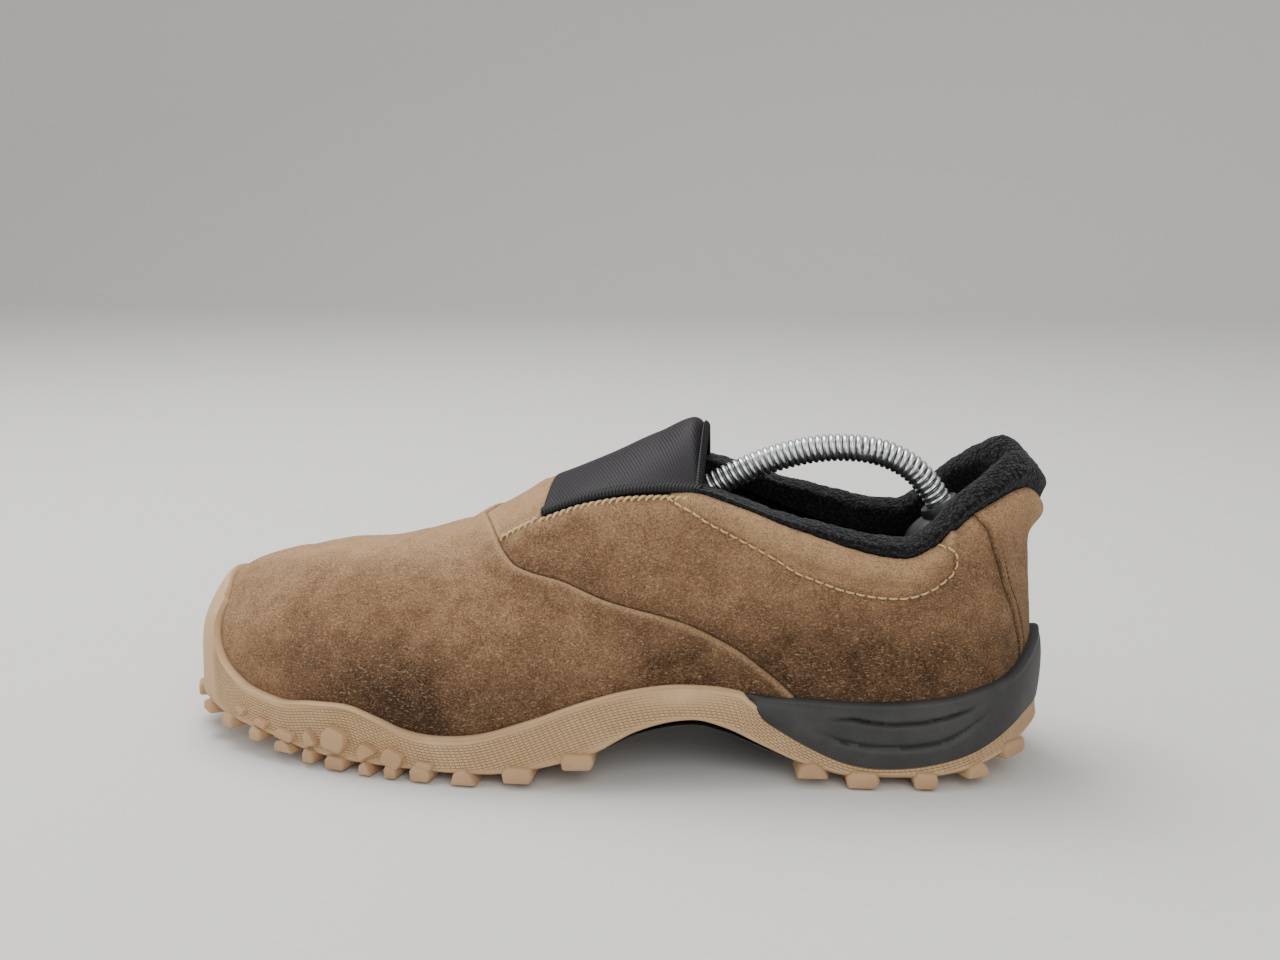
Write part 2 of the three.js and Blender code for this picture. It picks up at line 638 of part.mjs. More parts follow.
/** Rings of the foam midsole: a slab inside the rubber, and a cup of its own behind FOAM_FRONT. */
function foamRings(u) {
  const low = soleFloor(u) + FOAM_LIFT;
  const top = featherHeight(u) - LAYER;
  const v = foamTop(along(u))[0];
  const hidden = [WALL + 1.7, WALL + 1.4, WALL + 0.9];
  const beside = besideFoam(u);
  const lining = (share) => (beside ? offLast(u, v * share, LAYER) : ringPoint(u, hidden[2], top));
  const rim = beside ? offLast(u, v, LAYER + WALL) : ringPoint(u, hidden[2], top);
  const side = (share, inset) => ringPoint(u, beside ? 0.2 : inset, lerp(low, Math.min(rim.z, top), share));
  return [
    spinePoint(u, soleFloor, FOAM_LIFT),
    ringPoint(u, layerInset(u), low),
    side(0, hidden[0]),
    side(0.6, hidden[1]),
    rim,
    lining(1),
    lining(0.5),
    beside ? lining(0).setZ(top + 0.1) : lining(0),
    ringPoint(u, WALL + 2, top),
    ringPoint(u, layerInset(u), top),
    spinePoint(u, featherHeight, -LAYER),
  ];
}

/** Rings of a flat layer inside the lining, so far above the feather edge. */
function layerRings(u, from, thickness, setBack) {
  const inset = layerInset(u) + setBack;
  const low = featherHeight(u) + from;
  return [
    spinePoint(u, featherHeight, from),
    ringPoint(u, inset, low),
    ringPoint(u, inset, low + thickness),
    spinePoint(u, featherHeight, from + thickness),
  ];
}

/** |u| of the place on the spine at x. */
function stationAt(x) {
  let low = 0.16;
  let high = 1;
  for (let i = 0; i < 40; i += 1) {
    const middle = (low + high) / 2;
    if (plan(middle).core.x < x) low = middle;
    else high = middle;
  }
  return (low + high) / 2;
}

const SHANK_MIDDLE = 42 * GRADE.x;
function shankBody(grow) {
  const half = SHANK_LENGTH / 2 + grow;
  return loft(steps(8).map((t) => {
    const x = SHANK_MIDDLE + lerp(-half, half, t);
    const top = featherHeight(stationAt(x)) - LAYER + (grow > 0 ? 2 : 0);
    const low = featherHeight(stationAt(x)) - LAYER - SHANK_THICKNESS - grow;
    const across = SHANK_WIDTH / 2 + grow;
    const corners = [[-across, low], [across, low], [across, top], [-across, top]];
    return corners.map(([y, z]) => new THREE.Vector3(x, y, z));
  }));
}

const foam = toSolid(ringBody(soleColumns, foamRings))
  .subtract(toSolid(ringBody(soleColumns, rubberCutterRings)))
  .subtract(toSolid(shankBody(GAP)));
addBody('midsole', fromSolid(foam), MATERIALS.foam);
addBody('shank', shankBody(0), MATERIALS.steel);

const BOARD_SEAT = GAP - LAYER; // over the feather edge
const FOOTBED_SEAT = BOARD_SEAT + BOARD + GAP;
const COVER_SEAT = FOOTBED_SEAT + FOOTBED + GAP;
const FOOT_LEVEL = COVER_SEAT + FOOTBED_COVER;
const FOOTBED_EASE = 0.4; // the footbed is cut this much smaller than the board all round
const flatLayer = (from, thickness, ease) => (
  ringBody(soleColumns, (u) => layerRings(u, from, thickness, ease))
);
addBody('insole_board', flatLayer(BOARD_SEAT, BOARD, 0), MATERIALS.board);
addBody('footbed_foam', flatLayer(FOOTBED_SEAT, FOOTBED, FOOTBED_EASE), MATERIALS.foam);
addBody('footbed_cover', flatLayer(COVER_SEAT, FOOTBED_COVER, FOOTBED_EASE), MATERIALS.fleece);

/** The stiff plate under the waist, let in below the rubber between the lugs. */
const ARCH_START = 0.612;
const ARCH_END = 0.776;
const ARCH_INSET = 1.6;
const archStations = [ARCH_START, ...SOLE_STATIONS.filter((s) => s > ARCH_START && s < ARCH_END), ARCH_END];
addBody('arch_plate', loft(archStations.map((s) => {
  const t = (s - ARCH_START) / (ARCH_END - ARCH_START);
  const top = soleBottom(s) - GAP;
  const low = top - ARCH_PLATE * lerp(0.35, 1, Math.sin(Math.PI * t));
  return [
    ringPoint(s, ARCH_INSET, top),
    ringPoint(s, 1e6, top),
    ringPoint(-s, ARCH_INSET, top),
    ringPoint(-s, ARCH_INSET + 0.8, low),
    ringPoint(s, 1e6, low),
    ringPoint(s, ARCH_INSET + 0.8, low),
  ];
})), MATERIALS.arch);

// ---- Upper ---------------------------------------------------------------------------------------

/** Shares of the way from the toe to a panel's back edge, closer together round the toe. */
const TOE_SHARES = [
  0, 0.03, 0.06, 0.09, 0.12, 0.15, 0.185, 0.22, 0.26, 0.31, 0.37, 0.44, 0.52, 0.6, 0.68, 0.76,
  0.84, 0.92, 1,
];
const bothSides = (shares) => [...shares.slice(1).reverse().map((f) => -f), ...shares];

/** Heights of the rows, closer together where the last turns over. */
const ROWS = [0, 0.8, 1.5, 2, 2.4, 2.8, 3.2, 3.6, 4, 4.45, 4.95, 5.5, 6];

const vampPlaces = ROWS.map((v) => bothSides(TOE_SHARES).map((f) => [vampSeam(v)[0] * f, v]));
addBody('vamp', sheet(vampPlaces, 0, SUEDE), MATERIALS.suede);

const mirrored = (places, side) => places.map((row) => row.map(([u, v]) => [u * side, v]));
const [cornerU] = vampSeam(TAB_CORNER);
const [heelTopU] = heelSeam(TOP_LINE);
const tabEdge = through([[cornerU, TAB_CORNER], [GORE_FRONT, TOP_LINE], [heelTopU, TOP_LINE]]);

const QUARTER_STATIONS = [ // |u| along the top line, closer together where it turns up to the heel
  cornerU, (cornerU + GORE_FRONT) / 2, GORE_FRONT, 0.57, 0.6, 0.63, 0.66, GORE_BACK, 0.72, 0.75,
  0.78, 0.81, 0.838, 0.86, 0.877, 0.892, 0.904, 0.915, heelTopU,
];
const quarterShares = QUARTER_STATIONS.map((u) => (u - cornerU) / (heelTopU - cornerU));
const quarterPlaces = patch({
  bottom: (a) => [lerp(vampSeam(0)[0], heelSeam(0)[0], a), 0],
  top: (a) => [lerp(cornerU, heelTopU, a), tabEdge(lerp(cornerU, heelTopU, a))[0]],
  front: (b) => [vampSeam(TAB_CORNER * b)[0], TAB_CORNER * b],
  back: (b) => [heelSeam(TOP_LINE * b)[0], TOP_LINE * b],
}, quarterShares, steps(9));
addBody('quarter_lateral', sheet(quarterPlaces, 0, SUEDE), MATERIALS.suede);
addBody('quarter_medial', sheet(mirrored(quarterPlaces, -1), 0, SUEDE), MATERIALS.suede);

const heelPanelPlaces = steps(9).map((b) => steps(16).map((a) => {
  const [edge] = heelSeam(TOP_LINE * b);
  return [lerp(edge, 2 - edge, a), TOP_LINE * b];
}));
addBody('heel_panel', sheet(heelPanelPlaces, 0, SUEDE), MATERIALS.suede);

/** A panel that crosses the instep: a patch of the lateral half, and its mirror past the ridge. */
const acrossInstep = (half) => [...half, ...mirrored(half, -1).reverse().slice(1)];

const tabPlaces = acrossInstep(patch({
  bottom: (a) => [lerp(cornerU, GORE_FRONT, a), tabEdge(lerp(cornerU, GORE_FRONT, a))[0]],
  top: (a) => [lerp(vampSeam(6)[0], GORE_FRONT, a), 6],
  front: (b) => [vampSeam(lerp(TAB_CORNER, 6, b))[0], lerp(TAB_CORNER, 6, b)],
  back: (b) => [GORE_FRONT, lerp(TOP_LINE, 6, b)],
}, [0, 0.5, 1], steps(6)));
addBody('instep_tab', sheet(tabPlaces, 0, SUEDE), MATERIALS.suede);

const gorePlaces = acrossInstep(steps(6).map((b) => steps(8).map((a) => (
  [lerp(GORE_FRONT, GORE_BACK, a), lerp(TOP_LINE, 6, b)]
))));
addBody('gore', sheet(gorePlaces, 0, GORE), MATERIALS.gore);

const bindingSeat = BINDING_RADIUS + GAP + FACET_ALLOWANCE;
for (const [name, side] of [['gore_binding_lateral', 1], ['gore_binding_medial', -1]]) {
  const placeAt = (t) => side * lerp(GORE_FRONT + 0.008, GORE_BACK - 0.004, t);
  const route = steps(8).map((t) => offLast(placeAt(t), TOP_LINE, bindingSeat));
  addBody(name, tube(route, BINDING_RADIUS, 6, 10), MATERIALS.gore);
}
const throatRoute = steps(10).map((t) => {
  const v = lerp(5.3, 6.7, t);
  const place = v <= 6 ? [GORE_BACK, v] : [-GORE_BACK, 12 - v];
  return onLast(...place).add(new THREE.Vector3(bindingSeat, 0, -0.6));
});
addBody('throat_binding', tube(throatRoute, BINDING_RADIUS, 6, 12), MATERIALS.gore);

// ---- Inside the upper ----------------------------------------------------------------------------

const puffShares = [0, 0.12, 0.24, 0.37, 0.5, 0.63, 0.76, 0.88, 1];
const puffPlaces = ROWS.slice(1).map((v) => bothSides(puffShares).map((f) => [f * PUFF_END, v]));
addBody('toe_puff', sheet(puffPlaces, SUEDE + LAYER, STIFFENER), MATERIALS.stiffener);

const PAD_FOOT = 4.25; // v of the collar padding's lower edge
const HEEL_TURN = [0.92, 0.932, 0.944, 0.955, 0.964, 0.972, 0.98, 0.987, 0.994, 1];
const roundHeel = (columns) => [...columns, ...columns.slice(0, -1).reverse().map((u) => 2 - u)];
const counterColumns = roundHeel([COUNTER_START, 0.89, ...HEEL_TURN]);
const counterPlaces = steps(6).map((b) => counterColumns.map((u) => [u, lerp(0.15, PAD_FOOT - 0.1, b)]));
addBody('heel_counter', sheet(counterPlaces, SUEDE + LAYER, STIFFENER), MATERIALS.stiffener);

const liningColumns = bothSides(TOE_SHARES).map((f) => f * (GORE_FRONT - 0.004));
const vampLiningPlaces = [0.12, ...ROWS.slice(1)].map((v) => liningColumns.map((u) => [u, v]));
addBody('vamp_lining', sheet(vampLiningPlaces, liningDepth, LINING), MATERIALS.fleece);

const QUARTER_LINING_COLUMNS = [
  GORE_FRONT, 0.565, 0.6, 0.64, 0.675, 0.695, 0.72, 0.76, 0.8, 0.84, 0.87, 0.895, ...HEEL_TURN,
];
const liningTop = (u) => (along(u) < 0.68 ? TOP_LINE - 0.1 : PAD_FOOT - 0.09);
const quarterLiningColumns = roundHeel(QUARTER_LINING_COLUMNS);
const quarterLiningPlaces = steps(9).map((b) => (
  quarterLiningColumns.map((u) => [u, lerp(0.1, liningTop(u), b)])
));
addBody('quarter_lining', sheet(quarterLiningPlaces, liningDepth, LINING), MATERIALS.fleece);

/** The padded collar: it fills the space inside the quarters' top edge and rolls over above it. */
const COLLAR_START = 0.702;
const COLLAR_RISE = through([ // |u|, height over the top line
  [0.7, 2.5], [0.75, 2.6], [0.8, 4.6], [0.85, 5.8], [0.9, 7], [0.95, 8.5], [0.975, 11], [1, 16],
]);
const COLLAR_COLUMNS = [COLLAR_START, 0.72, 0.745, 0.77, 0.8, 0.83, 0.86, 0.877, 0.892, 0.906, ...HEEL_TURN];
addBody('collar_pad', loft(roundHeel(COLLAR_COLUMNS).map((u) => {
  const rise = COLLAR_RISE(along(u))[0];
  const lean = Math.max(0, rise - 5) * 0.22;
  const { out } = plan(u);
  const edge = onLast(u, TOP_LINE);
  const over = (inward, up) => edge.clone().add(new THREE.Vector3(-out.x * inward, -out.y * inward, up));
  return [
    ...[PAD_FOOT, 4.65, TOP_LINE].map((v) => offLast(u, v, -(SUEDE + LAYER + 1.8 * FACET_ALLOWANCE))),
    offLast(u, TOP_LINE, -SUEDE / 2).add(new THREE.Vector3(0, 0, LAYER + 0.2)),
    over(-0.9, 0.35 * rise + 1),
    over(1.5 + lean, 0.85 * rise),
    over(4.5 + lean, rise),
    over(COLLAR_DEPTH - 0.2 + lean * 0.6, 0.78 * rise),
    over(COLLAR_DEPTH + 2.2, 0.2 * rise),
    offLast(u, 4.75, -(COLLAR_DEPTH + 1.6)),
    offLast(u, PAD_FOOT, -innerDepth(u)),
  ];
})), MATERIALS.fleece);

// ---- Shoe tree -----------------------------------------------------------------------------------

const FORM_END = 0.545; // |u|
const formDepth = (u) => innerDepth(u) + FORM_MARGIN;
const formFoot = (u) => featherHeight(u) + FOOT_LEVEL + LAYER;
const formColumns = bothSides([...SOLE_STATIONS.filter((s) => s < FORM_END), FORM_END]);
const formRings = (u) => {
  const edge = offLast(u, 1.5, -formDepth(u) - 1).setZ(formFoot(u));
  const climb = [1.9, 2.4, 2.9, 3.4, 3.9, 4.4, 4.9, 5.4].map((v) => offLast(u, v, -formDepth(u)));
  const ridge = onLast(u, 6).add(new THREE.Vector3(0, 0, -formDepth(u) - 1));
  return [spinePoint(u, formFoot), edge, ...climb, ridge];
};

const PIVOT = new THREE.Vector3(-6 * GRADE.x, 0, 64 * GRADE.z);
const PIN_RADIUS = 1.6;
const PIN_CLEARANCE = 0.3;
const EYE = { radius: 5.2, width: 7.5 };
const EAR_THICKNESS = 2.4;
const EAR_RADIUS = 4.9; // clear of the spring's end, which turns close behind the ears

/** A cylinder lying along Y, centred at a point. */
function crossCylinder(center, radius, length, sides) {
  const loop = (y) => steps(sides).slice(1).map((t) => new THREE.Vector3(
    center.x + radius * Math.cos(2 * Math.PI * t),
    y,
    center.z + radius * Math.sin(2 * Math.PI * t),
  ));
  return loft([loop(center.y - length / 2), loop(center.y + length / 2)]);
}

/** An ear of the toe form: a plate that runs from inside the form to round the pin. */
function ear(side) {
  const near = side * (EYE.width / 2 + GAP);
  const far = near + side * EAR_THICKNESS;
  const back = plan(FORM_END).core.x - 6;
  const arc = steps(8).map((t) => {
    const angle = -Math.PI / 2 + Math.PI * t;
    return [PIVOT.x + EAR_RADIUS * Math.cos(angle), PIVOT.z + EAR_RADIUS * Math.sin(angle)];
  });
  const shape = [[back, PIVOT.z - EAR_RADIUS], ...arc, [back, PIVOT.z + EAR_RADIUS]];
  const loop = (y) => shape.map(([x, z]) => new THREE.Vector3(x, y, z));
  return toSolid(loft([loop(near), loop(far)]));
}

const pinLength = EYE.width + 2 * GAP + 2 * EAR_THICKNESS;
const pinHole = toSolid(crossCylinder(PIVOT, PIN_RADIUS + PIN_CLEARANCE, pinLength + 20, 16));
const toeForm = toSolid(ringBody(formColumns, formRings)).add(ear(1)).add(ear(-1)).subtract(pinHole);
addBody('tree_toe_form', fromSolid(toeForm), MATERIALS.treePlastic);
addBody('tree_pin', crossCylinder(PIVOT, PIN_RADIUS, pinLength, 16), MATERIALS.steel);
const eye = toSolid(crossCylinder(PIVOT, EYE.radius, EYE.width, 20)).subtract(pinHole);
addBody('tree_spring_eye', fromSolid(eye), MATERIALS.steel);

const SPRING_ROUTE = [ // x, z; it arches from the eye over the opening and down to the knob
  [10, 73.9], [22, 81.6], [34.7, 89.6], [44.6, 94.9], [52.6, 98.7], [60.4, 101.4], [69.3, 103.6],
  [80, 104.6], [88.7, 104], [96.7, 101.7], [103.5, 97.8], [108.6, 92.5], [112.7, 86.5], [114.8, 82.2],
];
const springPoints = SPRING_ROUTE.map(([x, z]) => new THREE.Vector3(x * GRADE.x, 0, z * GRADE.z));
const springStart = springPoints[0].clone().sub(PIVOT).setLength(EYE.radius + GAP).add(PIVOT);
springPoints.unshift(springStart);
const KNOB = { x: 118.3 * GRADE.x, z: 69.5 * GRADE.z, thickness: 17.8, width: 17, height: 15 };
addBody('tree_spring', tube(springPoints, SPRING_RADIUS, 10, 24), MATERIALS.steel);

const ball = new THREE.SphereGeometry(1, 20, 12);
ball.scale(KNOB.thickness, KNOB.width, KNOB.height);
ball.translate(KNOB.x, 0, KNOB.z);
const bodyOf = (geometry) => {
  const spots = geometry.getAttribute('position');
  const pick = (_, i) => new THREE.Vector3().fromBufferAttribute(spots, i);
  const points = Array.from({ length: spots.count }, pick);
  const order = geometry.index ? [...geometry.index.array] : points.map((_, i) => i);
  const triangles = [];
  for (let i = 0; i < order.length; i += 3) triangles.push(order.slice(i, i + 3));
  return facingOut(weld(points, triangles));
};
const springEnd = springPoints.at(-1);
const beyondEnd = springEnd.clone().sub(springPoints.at(-2)).setLength(GAP * 2).add(springEnd);
const socketRoute = [...springPoints.slice(0, -1), beyondEnd];
const socket = toSolid(bodyOf(tube(socketRoute, SPRING_RADIUS + LAYER, 10, 24)));
addBody('tree_heel_knob', fromSolid(toSolid(bodyOf(ball)).subtract(socket)), MATERIALS.treePlastic);

// ---- Origin: the middle of the bottom of the box -------------------------------------------------

const box = new THREE.Box3().setFromObject(model);
const middle = box.getCenter(new THREE.Vector3());
model.position.set(-middle.x, -middle.y, -box.min.z);

export default model;
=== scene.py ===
"""A slip-on moccasin for the left foot, with the spring shoe tree that keeps its shape.

The upper, its linings and the collar are drawn on one last: a place on it is (u, v). u runs round the
shoe from the toe (0) along the lateral side to the middle of the heel (1), and back along the medial
side with a minus sign. v climbs from the feather edge (0) past the top line (5) to the ridge over the
instep (6), and carries on down the other side to 12. Sizes in the classes are millimetres in the
last's own frame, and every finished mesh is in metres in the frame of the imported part.
"""

import json
import logging
import math
from dataclasses import dataclass, field
from enum import Enum
from typing import Callable, Optional, Sequence

import bpy
import numpy as np
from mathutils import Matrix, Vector, noise

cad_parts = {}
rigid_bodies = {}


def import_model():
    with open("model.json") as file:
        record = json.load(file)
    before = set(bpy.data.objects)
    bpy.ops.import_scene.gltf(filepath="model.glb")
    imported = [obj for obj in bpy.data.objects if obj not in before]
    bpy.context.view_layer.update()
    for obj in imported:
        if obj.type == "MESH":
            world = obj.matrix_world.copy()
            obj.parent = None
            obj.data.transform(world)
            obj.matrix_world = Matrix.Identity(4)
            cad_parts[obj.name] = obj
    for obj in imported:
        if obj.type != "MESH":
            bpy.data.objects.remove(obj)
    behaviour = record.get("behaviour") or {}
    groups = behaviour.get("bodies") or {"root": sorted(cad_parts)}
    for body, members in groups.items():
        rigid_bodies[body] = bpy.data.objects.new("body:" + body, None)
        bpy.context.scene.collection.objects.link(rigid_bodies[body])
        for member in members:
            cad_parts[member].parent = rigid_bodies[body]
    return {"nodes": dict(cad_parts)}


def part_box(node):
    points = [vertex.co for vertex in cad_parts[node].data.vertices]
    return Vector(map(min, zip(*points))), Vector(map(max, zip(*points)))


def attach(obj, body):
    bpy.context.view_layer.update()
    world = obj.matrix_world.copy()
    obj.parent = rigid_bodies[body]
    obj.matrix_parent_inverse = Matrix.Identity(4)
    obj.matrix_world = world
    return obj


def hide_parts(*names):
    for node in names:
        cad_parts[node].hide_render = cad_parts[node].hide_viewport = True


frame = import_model()

Array = np.ndarray
Rows = Sequence[Sequence[float]]
Faces = list[tuple[int, ...]]
Tree = bpy.types.NodeTree
Socket = bpy.types.NodeSocket
Material = bpy.types.Material
Mesh = bpy.types.Mesh
Piece = bpy.types.Object
Feeds = dict[str, Socket]
log = logging.getLogger("moccasin")

MM = 0.001
PIVOT = (-6.0, 0.0, 64.0)  # the shoe tree's pin, in the last's frame
SHOE = "shoe"
ARM = "tree_arm"


class Side(Enum):
    """A side of the shoe, as the sign of u."""

    LATERAL = 1
    MEDIAL = -1


# ---- Numbers ----


def smooth(x: Array, low: float, high: float) -> Array:
    """An even step from 0 at low to 1 at high.

    Args:
        x: The values.
        low: Where the step starts.
        high: Where it ends; it may be less than low for a step down.

    Returns:
        The step's height at each value.
    """
    t = np.clip((np.asarray(x, float) - low) / (high - low), 0, 1)
    return t * t * (3 - 2 * t)


def mix(a: Array, b: Array, t: Array) -> Array:
    """A value between a and b at the share t."""
    return a + (b - a) * t


def bell(x: Array, width: float) -> Array:
    """A bell curve of height 1 over 0, of that half width."""
    return np.exp(-((np.asarray(x, float) / width) ** 2))


def paired(first: Array, second: Array) -> Array:
    """Two arrays, broadcast against each other, as the last axis of one."""
    return np.stack(np.broadcast_arrays(first, second), axis=-1)


def unit(vectors: Array) -> Array:
    """The vectors at length 1."""
    length = np.linalg.norm(vectors, axis=-1, keepdims=True)
    return vectors / np.maximum(length, 1e-12)


def grain(points: Array, scale: float, seed: float) -> Array:
    """Smooth noise of about -1 to 1 at points in mm.

    Args:
        points: The places, one row each.
        scale: The size of one swell in mm.
        seed: Moves the pattern, so that two layers differ.

    Returns:
        One value for each point.
    """
    shift = Vector((seed * 17.3, seed * 5.1, seed * 9.7))
    return np.array([noise.noise(Vector(p) / scale + shift) for p in points.tolist()])


def graded(count: int, length: float, start: bool, end: bool) -> Array:
    """Shares of a length from 0 to 1, closer together at an end that turns over.

    Args:
        count: How many shares the plain middle has.
        length: The length in mm.
        start: Whether the start turns over.
        end: Whether the end does.

    Returns:
        The shares in order.
    """
    close = np.array([0.0, 0.12, 0.3, 0.55, 0.85, 1.2, 1.7, 2.4]) / length
    low = close if start else close[:1]
    high = 1 - close[::-1] if end else 1 - close[:1]
    return np.concatenate([low, np.linspace(low[-1], high[0], count)[1:-1], high])


class SmoothTable:
    """A smooth curve through rows of (place, value, value ...) that never swings past its points."""

    def __init__(self, rows: Rows, period: float = 0.0, level: bool = False) -> None:
        """Works out the slope at each row.

        Args:
            rows: The rows, in rising order of their place.
            period: Where more than 0, the curve closes on itself after it.
            level: Whether the curve starts and ends without a slope.
        """
        table = np.array(rows, float)
        if period:
            before, after = table[-3:].copy(), table[:3].copy()
            before[:, 0] -= period
            after[:, 0] += period
            table = np.vstack([before, table, after])
        self.place, self.value = table[:, 0], table[:, 1:]
        self.step = np.diff(self.place)
        rise = np.diff(self.value, axis=0) / self.step[:, None]
        slope = np.zeros_like(self.value)
        behind, ahead = rise[:-1], rise[1:]
        short, long = self.step[:-1, None], self.step[1:, None]
        mean = (behind * long + ahead * short) / (short + long)
        most = 3 * np.minimum(abs(behind), abs(ahead))
        slope[1:-1] = np.where(behind * ahead <= 0, 0, np.clip(mean, -most, most))
        if not level:
            slope[0], slope[-1] = rise[0], rise[-1]
        self.slope = slope

    def __call__(self, place: Array) -> Array:
        """The values at each place, one row each."""
        x = np.clip(np.atleast_1d(np.asarray(place, float)), self.place[0], self.place[-1])
        i = np.clip(np.searchsorted(self.place, x) - 1, 0, len(self.step) - 1)
        t = ((x - self.place[i]) / self.step[i])[:, None]
        ease = t * t * (3 - 2 * t)
        bend = self.slope[i] * t * (1 - t) ** 2 - self.slope[i + 1] * t * t * (1 - t)
        return self.value[i] * (1 - ease) + self.value[i + 1] * ease + bend * self.step[i][:, None]

    def one(self, place: Array) -> Array:
        """The first value at each place, as a flat row."""
        return self(place)[:, 0]


# ---- The last ----


@dataclass(frozen=True)
class Last:
    """The smooth body that the shoe is built on, with the levels of its sole."""

    outline: SmoothTable = field(default_factory=lambda: SmoothTable([
        (-0.97, 140, 21.5), (-0.93, 124, 34.5), (-0.87, 99, 38.5), (-0.78, 63, 36.5),
        (-0.68, 28, 37), (-0.58, -6, 42.5), (-0.48, -40, 48.5), (-0.38, -72, 51),
        (-0.26, -108, 49), (-0.16, -136, 40), (-0.08, -147.5, 26), (0, -150, 10),
        (0.08, -144.5, -11), (0.16, -129.5, -28), (0.26, -103, -40.5), (0.38, -70, -49.5),
        (0.48, -38, -53.5), (0.58, -5, -52), (0.68, 30, -46), (0.78, 65, -41.5),
        (0.87, 100, -40), (0.93, 124, -35.5), (0.97, 140, -21.5), (1, 148, 0),
    ], period=2.0))
    spine: SmoothTable = field(default_factory=lambda: SmoothTable([
        (0, -106, 5), (0.08, -105, 4.5), (0.16, -102, 3.5), (0.26, -92, 2), (0.38, -70, 0),
        (0.48, -38, 0), (0.58, -5, 0), (0.68, 30, 0), (0.78, 65, 0), (0.87, 98, 0),
        (0.93, 111, 0), (0.97, 114, 0), (1, 115, 0),
    ], level=True))
    # |u|, then a height and an inset from the outline at v = 0, 1 and 2, a height and a half width
    # at v = 3, 4 and 5, and the height of the ridge.
    sections: SmoothTable = field(default_factory=lambda: SmoothTable([
        (0.00, 31.0, 3.5, 38, 4.5, 46, 7.5, 52.5, 31.5, 57.5, 24, 62, 12, 64.4),
        (0.08, 28.5, 3.5, 36, 4.0, 45, 7.0, 52, 29, 57.5, 21, 62, 10.5, 64.5),
        (0.16, 24.0, 3.5, 33, 3.0, 43, 5.5, 51.5, 28, 58, 20, 63, 10, 64.9),
        (0.26, 18.5, 3.5, 29, 1.8, 40, 4.0, 51, 31.5, 59.5, 22, 65.5, 11, 67),
        (0.38, 14.0, 3.5, 26, 1.2, 38, 3.0, 51, 38, 61.5, 27, 68.3, 14, 70.3),
        (0.48, 14.5, 3.5, 28, 1.5, 42, 4.5, 57, 40, 69, 29, 78, 16, 80.5),
        (0.54, 18.5, 3.5, 32, 2.3, 47, 6.0, 62, 39.5, 75, 33, 84.5, 27.5, 92),
        (0.58, 22.5, 3.5, 36, 3.0, 50, 7.0, 66, 38, 80, 32, 89.5, 27.5, 97.5),
        (0.68, 28.8, 3.5, 41, 3.4, 54, 5.0, 68, 38.5, 82, 34.5, 94.5, 30, 112),
        (0.73, 28.3, 3.5, 40, 3.4, 52.5, 4.4, 65.5, 37.8, 78.5, 35.5, 90.5, 33, 113),
        (0.78, 27.0, 3.5, 39, 3.4, 51, 4.0, 62, 37, 73.5, 36, 84, 34, 112),
        (0.87, 25.7, 3.5, 36, 3.2, 46, 2.8, 56, 36.8, 66, 36, 75.5, 33.5, 110),
        (0.93, 26.3, 3.5, 38, 3.4, 50, 4.2, 62.5, 33, 76, 32, 91, 32, 110),
        (0.97, 27.3, 3.5, 39, 3.4, 51.5, 4.4, 64, 28.8, 78, 28.4, 97, 30.4, 110),
        (1.00, 28.0, 3.5, 41, 3.5, 54, 4.3, 66, 27.8, 77.5, 27.3, 88.6, 30, 110),
    ], level=True))
    sole_bottom: SmoothTable = field(default_factory=lambda: SmoothTable([
        (0, 13), (0.08, 12.4), (0.16, 10.4), (0.2, 9), (0.24, 7.2), (0.28, 4.9), (0.32, 3.8),
        (0.36, 3.3), (0.48, 3.3), (0.52, 4.2), (0.555, 6.6), (0.6, 11.2), (0.64, 18.5), (0.69, 22),
        (0.72, 19.3), (0.755, 13.2), (0.785, 8), (0.81, 4.9), (0.835, 3.3), (0.885, 3.3),
        (0.91, 4.5), (0.935, 6.4), (0.965, 10.6), (1, 13.5),
    ], level=True))
    toe_fan: float = 0.26  # |u| up to which the sole's middle keeps nearly one height
    heel_fan: float = 0.9
    waist_follow: tuple[float, float] = (0.6, 0.3)  # of the narrow medial waist, at v = 3 and 4

    def plan(self, u: Array) -> tuple[Array, Array, Array]:
        """The spine and the rim, seen from above.

        Args:
            u: Places round the shoe.

        Returns:
            The spine's point, the direction out to the rim and the distance to it, at each place.
        """
        u = (np.asarray(u, float) + 1) % 2 - 1
        core = self.spine(abs(u))
        out = self.outline(u) - core
        reach = np.linalg.norm(out, axis=1)
        return core, out / reach[:, None], reach

    def ring(self, u: Array, inset: Array, z: Array) -> Array:
        """Points so far inside the rim, or outside it where negative, at height z."""
        core, out, reach = self.plan(u)
        return np.column_stack([core + out * (reach - np.minimum(inset, reach))[:, None], z + 0 * reach])

    def point(self, u: Array, v: Array) -> Array:
        """The last's surface.

        Args:
            u: Places round the shoe.
            v: Places up its section.

        Returns:
            The point at each (u, v).
        """
        u, v = np.broadcast_arrays(np.asarray(u, float), np.asarray(v, float))
        over = v > 6
        u = np.where(over, -u, u)
        u = (u + 1) % 2 - 1
        v = np.where(over, 12 - v, v)
        core, out, reach = self.plan(u)
        row = self.sections(abs(u))
        waist = np.where(u < 0, reach - self.plan(abs(u))[2], 0)
        across = np.column_stack([
            reach - row[:, 1], reach - row[:, 3], reach - row[:, 5],
            row[:, 7] + waist * self.waist_follow[0], row[:, 9] + waist * self.waist_follow[1],
            row[:, 11], 0 * reach, -row[:, 11],
        ])
        height = row[:, [0, 2, 4, 6, 8, 10, 12, 10]]
        r, z = self._spline(across, v), self._spline(height, v)
        return np.column_stack([core + out * r[:, None], z])

